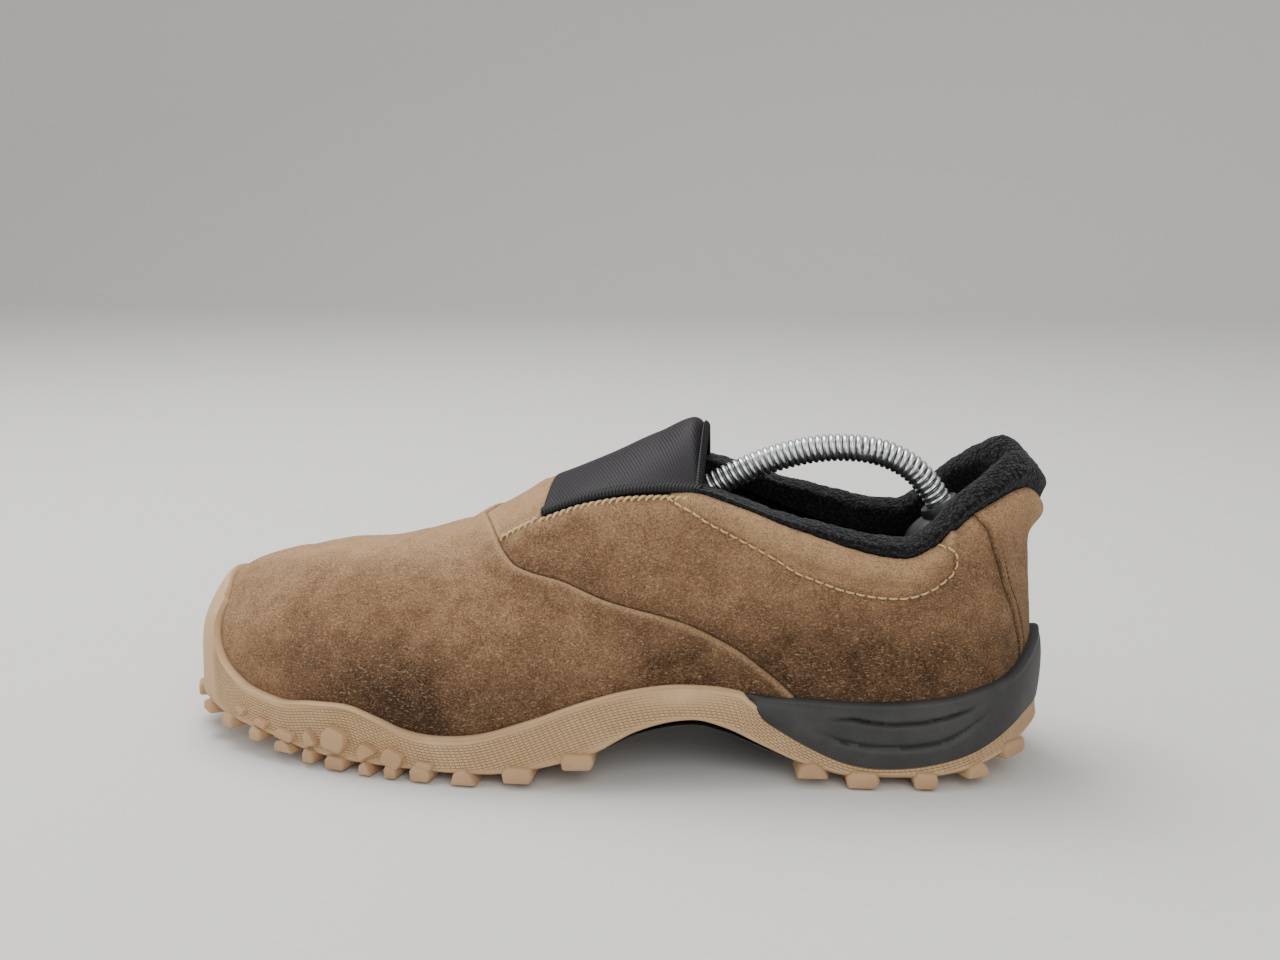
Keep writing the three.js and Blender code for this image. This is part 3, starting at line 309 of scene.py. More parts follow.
    @staticmethod
    def _spline(knots: Array, v: Array) -> Array:
        """One coordinate of the section.

        Args:
            knots: For each place, the values at v = 0, 1, 2 ...
            v: The places.

        Returns:
            The value at each place.
        """
        rows = np.arange(len(v))
        i = np.clip(np.floor(v).astype(int), 0, 5)
        t = v - i
        start, end = knots[rows, i], knots[rows, i + 1]
        leave = np.where(i > 0, (end - knots[rows, np.maximum(i - 1, 0)]) / 2, end - start)
        arrive = (knots[rows, i + 2] - start) / 2
        ease = t * t * (3 - 2 * t)
        return mix(start, end, ease) + leave * t * (1 - t) ** 2 - arrive * t * t * (1 - t)

    def normal(self, u: Array, v: Array) -> Array:
        """The way out of the surface.

        Args:
            u: Places round the shoe.
            v: Places up its section.

        Returns:
            The unit normal at each (u, v).
        """
        u, v = np.broadcast_arrays(np.asarray(u, float), np.asarray(v, float))
        along = self.point(u + 0.004, v) - self.point(u - 0.004, v)
        up = self.point(u, np.minimum(v + 0.03, 12)) - self.point(u, np.maximum(v - 0.03, 0))
        return unit(np.cross(along, up))

    def off(self, u: Array, v: Array, out: Array) -> Array:
        """Points off the surface: outwards for a positive distance."""
        u, v = np.broadcast_arrays(np.asarray(u, float), np.asarray(v, float))
        return self.point(u, v) + self.normal(u, v) * np.broadcast_to(out, u.shape)[:, None]

    def feather(self, u: Array) -> Array:
        """The height of the feather edge."""
        return self.sections(abs(u))[:, 0]

    def bottom(self, u: Array) -> Array:
        """The height of the rubber's underside, over the lugs."""
        return self.sole_bottom.one(abs(u))

    def middle(self, u: Array, level: Callable[[Array], Array], lift: float = 0.0) -> Array:
        """Points on the spine, where a level of the sole has little fall round the toe and heel.

        Args:
            u: Places round the shoe.
            level: The level's height at |u|.
            lift: How far over it the points lie in mm.

        Returns:
            One point for each place.
        """
        s = abs(np.asarray(u, float))
        s = np.where(s < self.toe_fan, self.toe_fan - (self.toe_fan - s) * 0.12, s)
        s = np.where(s > self.heel_fan, self.heel_fan + (s - self.heel_fan) * 0.15, s)
        return self.ring(u, 1e6, level(s) + lift)

    def girth(self, u: Array) -> Array:
        """The length along the outline in mm, from the first place to each."""
        step = np.linalg.norm(np.diff(self.outline((u + 1) % 2 - 1), axis=0), axis=1)
        return np.concatenate([[0], np.cumsum(step)])


# ---- Meshes ----


@dataclass
class Surface:
    """A closed mesh in mm with values at its points."""

    points: Array
    faces: Faces
    values: dict[str, Array] = field(default_factory=dict)
    uv: Optional[Array] = None  # one row for each point, in mm


def cells(rows: int, columns: int, close_rows: bool = False, close_columns: bool = False) -> Faces:
    """Quads of a grid.

    Args:
        rows: How many rows of points it has.
        columns: How many points each row has.
        close_rows: Whether the last row joins the first.
        close_columns: Whether each row closes on itself.

    Returns:
        The quads, by the points' numbers.
    """
    i = np.arange(rows if close_rows else rows - 1)
    j = np.arange(columns if close_columns else columns - 1)
    a, b = np.meshgrid(i, j, indexing="ij")
    a, b = a.ravel(), b.ravel()
    c, d = (a + 1) % rows, (b + 1) % columns
    quads = np.column_stack([a * columns + b, a * columns + d, c * columns + d, c * columns + b])
    return [tuple(q) for q in quads.tolist()]


def weld(points: Array, faces: Faces) -> tuple[Array, Faces]:
    """Joins points that coincide.

    Args:
        points: The points in mm.
        faces: Faces over them.

    Returns:
        The index of one old point for each kept one, and the faces that are left.
    """
    keys = np.round(points * 400).astype(np.int64)
    _, first, back = np.unique(keys, axis=0, return_index=True, return_inverse=True)
    back = back.ravel()
    kept = []
    for face in faces:
        turned = [int(back[i]) for i in face]
        corners = [c for n, c in enumerate(turned) if c != turned[n - 1]]
        if len(set(corners)) == len(corners) >= 3:
            kept.append(tuple(corners))
    return first, kept


def point_normals(points: Array, faces: Faces) -> Array:
    """Area-weighted normals of a mesh of triangles and quads.

    Args:
        points: Its points.
        faces: Its faces.

    Returns:
        The unit normal at each point.
    """
    padded = np.array([face if len(face) == 4 else (*face, face[0]) for face in faces])
    a, b, c, d = (points[padded[:, k]] for k in range(4))
    area = np.cross(c - a, d - b)
    triangle = padded[:, 3] == padded[:, 0]
    area[triangle] = np.cross(b - a, c - a)[triangle]
    normals = np.zeros_like(points)
    for k in range(4):
        rows = ~triangle if k == 3 else slice(None)
        np.add.at(normals, padded[rows, k], area[rows])
    return unit(normals)


def open_edges(faces: Faces) -> list[tuple[int, int]]:
    """The edges of a mesh's border.

    Args:
        faces: The mesh's faces.

    Returns:
        The directed edges that only one face has, in order.
    """
    edges = set()
    for face in faces:
        for n, here in enumerate(face):
            there = face[(n + 1) % len(face)]
            if (there, here) in edges:
                edges.remove((there, here))
            else:
                edges.add((here, there))
    return sorted(edges)


def face_out(surface: Surface) -> Surface:
    """Turns the faces of a closed mesh outwards.

    Args:
        surface: The mesh, which is changed.

    Returns:
        The same mesh.
    """
    volume = 0.0
    points = surface.points
    for face in surface.faces:
        for n in range(1, len(face) - 1):
            a, b, c = points[face[0]], points[face[n]], points[face[n + 1]]
            volume += a[0] * (b[1] * c[2] - b[2] * c[1]) - a[1] * (b[0] * c[2] - b[2] * c[0]) \
                + a[2] * (b[0] * c[1] - b[1] * c[0])
    if volume < 0:
        surface.faces = [face[::-1] for face in surface.faces]
    return surface


def distance(points: Array, line: Array) -> Array:
    """How far points are from a line.

    Args:
        points: The points.
        line: The line, as points close together.

    Returns:
        The distance from each point to the nearest one of the line.
    """
    best = np.full(len(points), np.inf)
    for part in np.array_split(line, max(1, len(line) // 60)):
        gap = np.linalg.norm(points[:, None, :] - part[None, :, :], axis=2)
        best = np.minimum(best, gap.min(axis=1))
    return best


def dense(line: Array, step: float = 0.4) -> Array:
    """A line with more points.

    Args:
        line: The line's corners.
        step: The length from one new point to the next.

    Returns:
        The points along it, its two ends included.
    """
    run = np.concatenate([[0], np.cumsum(np.linalg.norm(np.diff(line, axis=0), axis=1))])
    places = np.linspace(0, run[-1], max(2, int(run[-1] / step)))
    return np.column_stack([np.interp(places, run, line[:, k]) for k in range(line.shape[1])])


@dataclass
class Skin:
    """A grid of places (u, v) on the last that becomes one panel of even thickness."""

    last: Last
    places: Array  # rows, columns, 2
    thickness: float
    free: tuple[bool, bool, bool, bool] = (True, True, True, True)  # rows: first, last; columns
    depth: Callable[[Array, Array], Array] = lambda u, v: 0 * u

    def __post_init__(self) -> None:
        """Finds the panel's points, its normals and how far each point is from a free edge."""
        rows, columns, _ = self.places.shape
        self.flat = self.places.reshape(-1, 2)
        seeds = self.last.point(self.flat[:, 0], self.flat[:, 1])
        grid = seeds.reshape(rows, columns, 3)
        borders = (grid[0], grid[-1], grid[:, 0], grid[:, -1])
        lines = [dense(line) for line, free in zip(borders, self.free) if free]
        self.kept, self.faces = weld(seeds, cells(rows, columns))
        self.points = seeds[self.kept]
        self.u, self.v = self.flat[self.kept].T
        self.edge = distance(self.points, np.vstack(lines)) if lines else np.full(len(self.points), 99.0)
        normals = point_normals(self.points, self.faces)
        axis = np.column_stack([self.points[:, 0] * 0.75, 0 * self.points[:, 0], 0 * self.points[:, 0] + 38])
        if np.sum(normals * unit(self.points - axis)) < 0:
            self.faces = [face[::-1] for face in self.faces]
            normals = -normals
        self.normals = normals

    def surface(
        self, rise: Array, roll: float | Array, values: dict[str, Array], uv: Optional[Array] = None,
        more: float | Array = 0.0,
    ) -> Surface:
        """The panel as a closed mesh.

        Args:
            rise: How far each point of the face stands out of the last, in mm.
            roll: The radius that a free edge turns over with.
            values: Values at the face's points.
            uv: Places on the face in mm.
            more: How much thicker it is than its usual thickness.

        Returns:
            The mesh, with its face's values on its back too.
        """
        reach = np.clip(roll - self.edge, 0, roll)
        drop = roll - np.sqrt(np.maximum(roll * roll - reach * reach, 0))
        deep = self.depth(self.u, self.v)
        face = self.points + self.normals * (rise - drop - deep)[:, None]
        back = self.points - self.normals * (self.thickness + deep + more)[:, None]
        count = len(self.points)
        faces = list(self.faces) + [tuple(i + count for i in reversed(f)) for f in self.faces]
        faces += [(b, a, a + count, b + count) for a, b in open_edges(self.faces)]
        doubled = {name: np.concatenate([value, value]) for name, value in values.items()}
        return Surface(np.vstack([face, back]), faces, doubled, None if uv is None else np.vstack([uv, uv]))


def loft(loops: Array, uv: Optional[Array] = None) -> Surface:
    """A body through closed loops of points, capped at both ends.

    Args:
        loops: The loops, as an array of loops by points by 3.
        uv: Places in mm, as an array of loops by points by 2.

    Returns:
        The closed mesh.
    """
    count, size, _ = loops.shape
    faces = cells(count, size, close_columns=True)
    for base, hub in ((0, count * size), ((count - 1) * size, count * size + 1)):
        for j in range(size):
            here, there = base + j, base + (j + 1) % size
            faces.append((here, there, hub) if base else (there, here, hub))
    points = np.vstack([loops.reshape(-1, 3), loops[0].mean(axis=0), loops[-1].mean(axis=0)])
    kept, faces = weld(points, faces)
    if uv is not None:
        uv = np.vstack([uv.reshape(-1, 2), uv[0].mean(axis=0), uv[-1].mean(axis=0)])[kept]
    return face_out(Surface(points[kept], faces, uv=uv))


def ring_body(rings: Array, uv: Optional[Array] = None, values: Optional[dict[str, Array]] = None) -> Surface:
    """A body from rings that start and end on the spine, one after another round the shoe.

    Args:
        rings: An array of places round the shoe by points by 3.
        uv: Places in mm, in the same order.
        values: Values, each in the same order.

    Returns:
        The closed mesh.
    """
    count, size, _ = rings.shape
    flat = rings.reshape(-1, 3)
    kept, faces = weld(flat, cells(count, size, close_rows=True))
    return face_out(Surface(
        flat[kept], faces, {name: value.ravel()[kept] for name, value in (values or {}).items()},
        None if uv is None else uv.reshape(-1, 2)[kept],
    ))


def joined(*surfaces: Surface) -> Surface:
    """Several closed meshes as one.

    Args:
        surfaces: The meshes, without values or maps.

    Returns:
        One mesh with all their faces.
    """
    faces, base = [], 0
    for surface in surfaces:
        faces += [tuple(i + base for i in face) for face in surface.faces]
        base += len(surface.points)
    return Surface(np.vstack([surface.points for surface in surfaces]), faces)


def round_angles(count: int) -> Array:
    """Angles of even steps round a circle."""
    return np.linspace(0, 2 * math.pi, count, endpoint=False)


def closed_curve(knots: Array, per_span: int) -> Array:
    """A smooth closed loop through knots, for many loops at once.

    Args:
        knots: An array of loops by knots by 3.
        per_span: Points between two knots.

    Returns:
        An array of loops by points by 3.
    """
    before, after = np.roll(knots, 1, axis=1), np.roll(knots, -1, axis=1)
    beyond = np.roll(knots, -2, axis=1)
    parts = []
    for t in np.arange(per_span) / per_span:
        parts.append(0.5 * (
            2 * knots + (after - before) * t + (2 * before - 5 * knots + 4 * after - beyond) * t ** 2
            + (3 * knots - before - 3 * after + beyond) * t ** 3
        ))
    return np.stack(parts, axis=2).reshape(len(knots), -1, 3)


def shift_to_frame() -> Array:
    """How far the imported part's frame lies from the last's, in mm, read from the shoe tree's pin."""
    return np.mean(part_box("tree_pin"), axis=0) / MM - PIVOT


def to_frame(points: Array) -> Array:
    """Points in mm on the last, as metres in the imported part's frame."""
    return (points + shift_to_frame()) * MM


def in_scene(name: str, data: bpy.types.ID) -> Piece:
    """A new object, linked into the scene."""
    made = bpy.data.objects.new(name, data)
    bpy.context.scene.collection.objects.link(made)
    return made


def carry(mesh: Mesh, key: str, kind: str, rows: Array) -> None:
    """Stores a value or a vector at each point of a mesh.

    Args:
        mesh: The mesh.
        key: The attribute's name.
        kind: Its type.
        rows: One row for each point.
    """
    attribute = mesh.attributes.new(key, kind, "POINT")
    part = "vector" if kind == "FLOAT_VECTOR" else "value"
    attribute.data.foreach_set(part, np.asarray(rows, np.int32 if kind == "INT" else np.float32).ravel())


def baked(carrier: Piece, modifier: bpy.types.Modifier) -> Mesh:
    """Applies an object's only modifier.

    Args:
        carrier: The object, which loses the modifier.
        modifier: The modifier.

    Returns:
        The resulting plain mesh.
    """
    graph = bpy.context.evaluated_depsgraph_get()
    mesh = bpy.data.meshes.new_from_object(carrier.evaluated_get(graph))
    carrier.modifiers.remove(modifier)
    return mesh


def make_piece(
    name: str, surface: Surface, material: Material, smooth_angle: float = 60
) -> Piece:
    """Makes a mesh object with its material.

    Args:
        name: The piece's name.
        surface: Its mesh in mm.
        material: Its finish.
        smooth_angle: The angle in degrees from which an edge shows as sharp.

    Returns:
        The object, at the origin.
    """
    mesh = bpy.data.meshes.new(name)
    mesh.from_pydata(to_frame(surface.points).tolist(), [], surface.faces)
    mesh.update()
    mesh.shade_smooth()
    mesh.set_sharp_from_angle(angle=math.radians(smooth_angle))
    for key, value in surface.values.items():
        carry(mesh, key, "FLOAT", value)
    if surface.uv is not None:
        layer = mesh.uv_layers.new(name="UVMap")
        corners = np.empty(len(mesh.loops), np.int32)
        mesh.loops.foreach_get("vertex_index", corners)
        layer.data.foreach_set("uv", surface.uv[corners].astype(np.float32).ravel())
    mesh.materials.append(material)
    log.info("%s: %d faces", name, len(mesh.polygons))
    return in_scene(name, mesh)


def place(piece: Piece, body: str, slot: str, *nodes: str) -> None:
    """Puts a piece on its body.

    Args:
        piece: The piece.
        body: The body that it rides on.
        slot: The name of its finish; it is not used.
        nodes: The CAD nodes that it stands for, which are hidden.
    """
    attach(piece, body)
    if nodes:
        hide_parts(*nodes)


def add_node(
    tree: Tree, kind: str, inputs: Optional[dict] = None, stops: Rows = (), **settings: object
) -> bpy.types.Node:
    """Adds a node with its settings and links.

    Args:
        tree: The tree it goes into.
        kind: The node's type.
        inputs: For each input, by name or number, a value or the socket that feeds it.
        stops: For a colour ramp, a place and a colour for each stop.
        settings: The node's properties.

    Returns:
        The node.
    """
    node = tree.nodes.new(kind)
    for key, value in settings.items():
        setattr(node, key, value)
    for key, value in (inputs or {}).items():
        if isinstance(value, Socket):
            tree.links.new(value, node.inputs[key])
        else:
            node.inputs[key].default_value = value
    for n, (spot, color) in enumerate(stops):
        elements = node.color_ramp.elements
        element = elements[n] if n < len(elements) else elements.new(spot)
        element.position, element.color = spot, color
    return node


# ---- Finishes ----

MIX_A, MIX_B, MIX_RESULT = 6, 7, 2  # the colour sockets of a Mix node


def colour(code: str) -> tuple[float, float, float, float]:
    """An sRGB hex value as linear red, green and blue, with an alpha of 1."""
    parts = (int(code[i:i + 2], 16) / 255 for i in (0, 2, 4))
    return (*(c / 12.92 if c <= 0.04045 else ((c + 0.055) / 1.055) ** 2.4 for c in parts), 1.0)


def coordinates(tree: Tree, kind: str = "Object") -> Socket:
    """The places that a pattern is drawn on."""
    return add_node(tree, "ShaderNodeTexCoord").outputs[kind]


def attribute(tree: Tree, name: str) -> Socket:
    """A value that the mesh carries."""
    return add_node(tree, "ShaderNodeAttribute", attribute_name=name).outputs["Fac"]


def reckon(
    tree: Tree, operation: str, a: Socket, b: Socket | float = 0.0
) -> Socket:
    """One step of arithmetic on a and b."""
    return add_node(tree, "ShaderNodeMath", {0: a, 1: b}, operation=operation).outputs[0]


def mottle(tree: Tree, at: Socket, size: float, **settings: float) -> Socket:
    """Noise with swells of a size in mm, and a detail, roughness or distortion."""
    inputs = {"Vector": at, "Scale": 1 / (size * MM), **{key.title(): value for key, value in settings.items()}}
    return add_node(tree, "ShaderNodeTexNoise", inputs).outputs["Fac"]


def ramp(tree: Tree, at: Socket, *stops: tuple[float, str]) -> Socket:
    """Colours along a value, each a place and a hex value."""
    return add_node(tree, "ShaderNodeValToRGB", {"Fac": at}, [(spot, colour(code)) for spot, code in stops]).outputs[0]


def blended(tree: Tree, share: Socket, a: object, b: object) -> Socket:
    """Colour a, turning into b as the share rises."""
    return add_node(tree, "ShaderNodeMix", {0: share, MIX_A: a, MIX_B: b}, data_type="RGBA").outputs[MIX_RESULT]


def span(
    tree: Tree, value: Socket, given: tuple[float, float], wanted: tuple[float, float]
) -> Socket:
    """A value carried from one range to another."""
    return add_node(tree, "ShaderNodeMapRange", {
        "Value": value, "From Min": given[0], "From Max": given[1], "To Min": wanted[0], "To Max": wanted[1],
    }).outputs[0]


def bumps(
    tree: Tree, height: Socket, strength: float, depth: float,
    under: Optional[Socket] = None,
) -> Socket:
    """A relief.

    Args:
        tree: The tree it goes into.
        height: Its height, from 0 to 1.
        strength: How strong it is.
        depth: Its depth in mm.
        under: A finer relief that it lies on.

    Returns:
        The normal that feeds the shader.
    """
    inputs = {"Height": height, "Strength": strength, "Distance": depth * MM}
    if under is not None:
        inputs["Normal"] = under
    return add_node(tree, "ShaderNodeBump", inputs).outputs[0]


@dataclass(frozen=True)
class Finish:
    """A finish: its name, its shader's plain settings and how its nodes are laid."""

    name: str
    roughness: float = 0.8
    settings: dict[str, object] = field(default_factory=dict)

    def material(self) -> Material:
        """Lays the finish's nodes.

        Returns:
            The finish as a material.
        """
        made = bpy.data.materials.new(self.name)
        made.use_nodes = True
        tree = made.node_tree
        tree.nodes.clear()
        shader = add_node(tree, "ShaderNodeBsdfPrincipled", {
            "Roughness": self.roughness, **self.settings, **self.lay(tree),
        })
        add_node(tree, "ShaderNodeOutputMaterial", {"Surface": shader.outputs[0]})
        return made

    def lay(self, tree: Tree) -> Feeds:
        """Adds the finish's own nodes to the tree, and gives the sockets that feed its shader."""
        raise NotImplementedError


@dataclass(frozen=True)
class Suede(Finish):
    """Cowhide split with a brushed nap.

    Short fibres give it no gloss, a soft edge light, pale specks and dark strokes, and handling has
    burnished it in blotches. The dark strokes are painted shade in the nap's hollows. Where an edge is
    folded it is worn pale, and the pale edge is partly a painted highlight where the fold catches the light.
    """

    dark: str = "2e1f14"
    middle: str = "72553e"
    light: str = "b08d6a"
    speck: str = "cbae8b"
    # the worn edges, partly a painted highlight along the folds
    edge: str = "b59570"
    # painted shade: the colour of the nap's hollows, where the relief is low
    hollow_shade: str = "4a3524"
    fibre: float = 0.62  # mm

    def lay(self, tree: Tree) -> Feeds:
        """Nap, blotches, worn edges with a painted highlight, painted shade in the nap's hollows and the fibres'
        relief.
        """
        at = coordinates(tree)
        laid = add_node(tree, "ShaderNodeMapping", {
            "Vector": at, "Rotation": (0.3, 0.5, 0.2), "Scale": (0.42, 1.0, 1.0),
        }).outputs[0]
        blotch = mottle(tree, at, 26, detail=5.0, roughness=0.62)
        cloud = mottle(tree, at, 6.5, detail=4.0, roughness=0.6)
        nap = mottle(tree, at, self.fibre, detail=4.0, roughness=0.72)
        strand = mottle(tree, laid, self.fibre * 0.75, detail=2.0, distortion=0.6)
        tuft = mottle(tree, at, self.fibre * 0.7, detail=2.0, distortion=1.2)
        total = attribute(tree, "tone")
        for layer, share in ((blotch, 0.5), (cloud, 0.4), (nap, 1.5)):
            swing = reckon(tree, "SUBTRACT", layer, 0.5)
            total = reckon(tree, "ADD", total, reckon(tree, "MULTIPLY", swing, share))
        tint = ramp(tree, total, (0.0, self.dark), (0.45, self.middle), (1.0, self.light))
        tint = blended(tree, span(tree, strand, (0.56, 0.76), (0.0, 0.5)), tint, colour(self.speck))
        # worn edges, partly a painted highlight where a fold catches the light
        tint = blended(tree, reckon(tree, "MULTIPLY", attribute(tree, "wear"), nap), tint, colour(self.edge))
        # painted shade in the nap's hollows, where the tufts' relief is low
        tint = blended(tree, span(tree, tuft, (0.5, 0.3), (0.0, 0.75)), tint, colour(self.hollow_shade))
        return {"Base Color": tint, "Normal": bumps(tree, reckon(tree, "ADD", tuft, strand), 0.75, 0.35)}


@dataclass(frozen=True)
class WovenRubber(Finish):
    """Moulded natural rubber, matt and a little dusty.

    The wall has rows of fine raised dashes, and its edges are smooth. The dashes are drawn a little
    coarser than they are, so that they show.
    """

    base: str = "bd9c76"
    # painted shade in the hollows between the dashes
    shade: str = "80643f"
    dust: str = "c8ab87"
    dash: tuple[float, float] = (1.7, 0.95)  # mm along and up

    def lay(self, tree: Tree) -> Feeds:
        """Dashes in the wall's own map, painted shade in the hollows between them and a moulded skin."""
        coords = add_node(tree, "ShaderNodeTexCoord").outputs
        dashes = add_node(tree, "ShaderNodeTexBrick", {
            "Vector": coords["UV"], "Scale": 1.0, "Color1": (1, 1, 1, 1), "Color2": (0.85, 0.85, 0.85, 1),
            "Mortar": (0, 0, 0, 1), "Mortar Size": 0.15, "Mortar Smooth": 1.0, "Bias": 0.0,
            "Brick Width": self.dash[0], "Row Height": self.dash[1],
        }).outputs["Color"]
        raised = blended(tree, attribute(tree, "knurl"), (1, 1, 1, 1), dashes)
        stain = mottle(tree, coords["Object"], 14, detail=6.0, roughness=0.65)
        skin = ramp(tree, stain, (0.3, self.base), (0.5, self.base), (0.75, self.dust))
        fine = bumps(tree, mottle(tree, coords["Object"], 0.7, detail=3.0), 0.25, 0.12)
        return {
            # painted shade: the shade colour fills the hollows between the dashes
            "Base Color": blended(tree, raised, colour(self.shade), skin),
            "Normal": bumps(tree, raised, 0.8, 0.35, fine),
        }


@dataclass(frozen=True)
class MouldedSkin(Finish):
    """A moulded plastic or foam skin: even colour, faint cloudiness, dust and a fine orange peel."""

    base: str = "4a4a48"
    cloud: str = "5a5a57"
    peel: float = 1.1  # mm
    relief: float = 0.08  # mm

    def lay(self, tree: Tree) -> Feeds:
        """Cloudy colour and a peel."""
        at = coordinates(tree)
        haze = mottle(tree, at, 18, detail=6.0, roughness=0.68)
        skin = mottle(tree, at, self.peel, detail=4.0, roughness=0.6)
        return {
            "Base Color": ramp(tree, haze, (0.35, self.base), (0.7, self.cloud)),
            "Normal": bumps(tree, skin, 0.4, self.relief),
        }


@dataclass(frozen=True)
class Fleece(Finish):
    """Polyester fleece with short curled loops: nearly black, with greyer tips and a soft sheen."""

    # painted shade where the loops lie low
    root: str = "030303"
    tip: str = "2b2b2d"
    loop: float = 1.5  # mm

    def lay(self, tree: Tree) -> Feeds:
        """Curled loops as cells, broken up by noise, with painted shade where the loops lie low."""
        at = coordinates(tree)
        curl = mottle(tree, at, self.loop, detail=3.0, distortion=1.6)
        pile = add_node(tree, "ShaderNodeTexVoronoi", {"Vector": at, "Scale": 1 / (self.loop * 0.8 * MM)})
        height = reckon(tree, "SUBTRACT", curl, pile.outputs["Distance"])
        return {
            "Base Color": ramp(tree, height, (0.0, self.root), (0.45, self.tip)),
            "Normal": bumps(tree, height, 0.9, 0.8),
        }


@dataclass(frozen=True)
class Satin(Finish):
    """Elastic satin: fine diagonal floats of a black warp with a plum sheen.

    The floats are drawn a little coarser than they are, so that they show.
    """

    # painted shade between the floats
    valley: str = "030203"
    crest: str = "150f16"
    pitch: float = 0.95  # mm from one float to the next

    def lay(self, tree: Tree) -> Feeds:
        """Diagonal lines in the cloth's own map, darker in their valleys as painted shade."""
        at = coordinates(tree, "UV")
        twill = add_node(tree, "ShaderNodeTexWave", {
            "Vector": at, "Scale": 0.5 / self.pitch, "Distortion": 0.4, "Detail": 1.0, "Detail Scale": 3.0,
        }, wave_type="BANDS", bands_direction="DIAGONAL").outputs["Fac"]
        return {
            # painted shade: darker in the valleys between the floats
            "Base Color": blended(tree, twill, colour(self.valley), colour(self.crest)),
            "Normal": bumps(tree, twill, 0.5, 0.15),
        }


@dataclass(frozen=True)
class Thread(Finish):
    """Twisted polyester thread: plies that catch the light across the stitch."""

    base: str = "d8bd90"
    shade: str = "a88a5e"
    ply: float = 0.35  # mm

    def lay(self, tree: Tree) -> Feeds:
        """Fine plies."""
        at = coordinates(tree)
        plies = mottle(tree, at, self.ply, detail=2.0)
        return {
            "Base Color": blended(tree, plies, colour(self.shade), colour(self.base)),
            "Normal": bumps(tree, plies, 0.4, 0.1),
        }


@dataclass(frozen=True)
class SpringWire(Finish):
    """Zinc-bright drawn steel wire: a metal with fine die lines and slight clouding."""

    base: str = "e2e3e4"
    cloud: str = "c3c5c7"

    def lay(self, tree: Tree) -> Feeds:
        """Clouded metal."""
        at = coordinates(tree)
        haze = mottle(tree, at, 3, detail=5.0)
        return {
            "Base Color": blended(tree, haze, colour(self.base), colour(self.cloud)),
            "Roughness": span(tree, haze, (0.3, 0.7), (0.24, 0.38)),
        }


@dataclass(frozen=True)
class Finishes:
    """Every finish of the shoe and its tree, made once."""

    suede: Material
    wall: Material
    lug: Material
    foam: Material
    arch: Material
    fleece: Material
    satin: Material
    binding: Material
    thread: Material
    brown_thread: Material
    wire: Material
    plastic: Material
    board: Material
    stiffener: Material
    footbed: Material

    @staticmethod
    def made() -> "Finishes":
        """The finishes as materials."""
        return Finishes(
            suede=Suede("brushed_suede_split", 0.96, {
                "Sheen Weight": 0.25, "Sheen Roughness": 0.5, "Sheen Tint": colour("c9a883"),
                "Specular IOR Level": 0.15,
            }).material(),
            wall=WovenRubber("moulded_rubber_wall", 0.78, {"Specular IOR Level": 0.35}).material(),
            lug=MouldedSkin("moulded_rubber_lug", 0.8, {"Specular IOR Level": 0.35}, base="a98765", cloud="b89774",
                            peel=0.9, relief=0.12).material(),
            foam=MouldedSkin("moulded_eva_skin", 0.62, {"Specular IOR Level": 0.4}, base="2b2b2a", cloud="3b3b39",
                             peel=1.5, relief=0.26).material(),
            arch=MouldedSkin("moulded_tpu_plate", 0.45, base="15171c", cloud="1f2228", peel=0.8).material(),
            fleece=Fleece("looped_polyester_fleece", 1.0, {
                "Sheen Weight": 0.35, "Sheen Roughness": 0.6, "Sheen Tint": colour("8c8d90"),
                "Specular IOR Level": 0.1,
            }).material(),
            satin=Satin("elastic_satin", 0.55, {
                "Sheen Weight": 0.1, "Sheen Roughness": 0.4, "Sheen Tint": colour("8d6f90"), "Specular IOR Level": 0.2,
            }).material(),
            binding=Satin("bound_tape", 0.7, valley="050506", crest="1b1a1e", pitch=0.9).material(),
            thread=Thread("twisted_polyester_thread", 0.6).material(),
            brown_thread=Thread("brown_polyester_thread", 0.7, base="6b4a2b", shade="3b2716").material(),
            wire=SpringWire("drawn_steel_wire", 0.26, {"Metallic": 1.0}).material(),
            plastic=MouldedSkin("moulded_polypropylene", 0.4, base="1b1c1e", cloud="242628", peel=0.9).material(),
            board=MouldedSkin("pressed_fibre_board", 0.9, base="a8926c", cloud="bfa980", peel=0.5).material(),
            stiffener=MouldedSkin("thermoplastic_sheet", 0.7, base="cfc8b8", cloud="ddd7ca").material(),
            footbed=MouldedSkin("open_foam", 0.95, base="26272a", cloud="323438", peel=0.6, relief=0.3).material(),
        )


# ---- Repeated pieces: Geometry Nodes ----


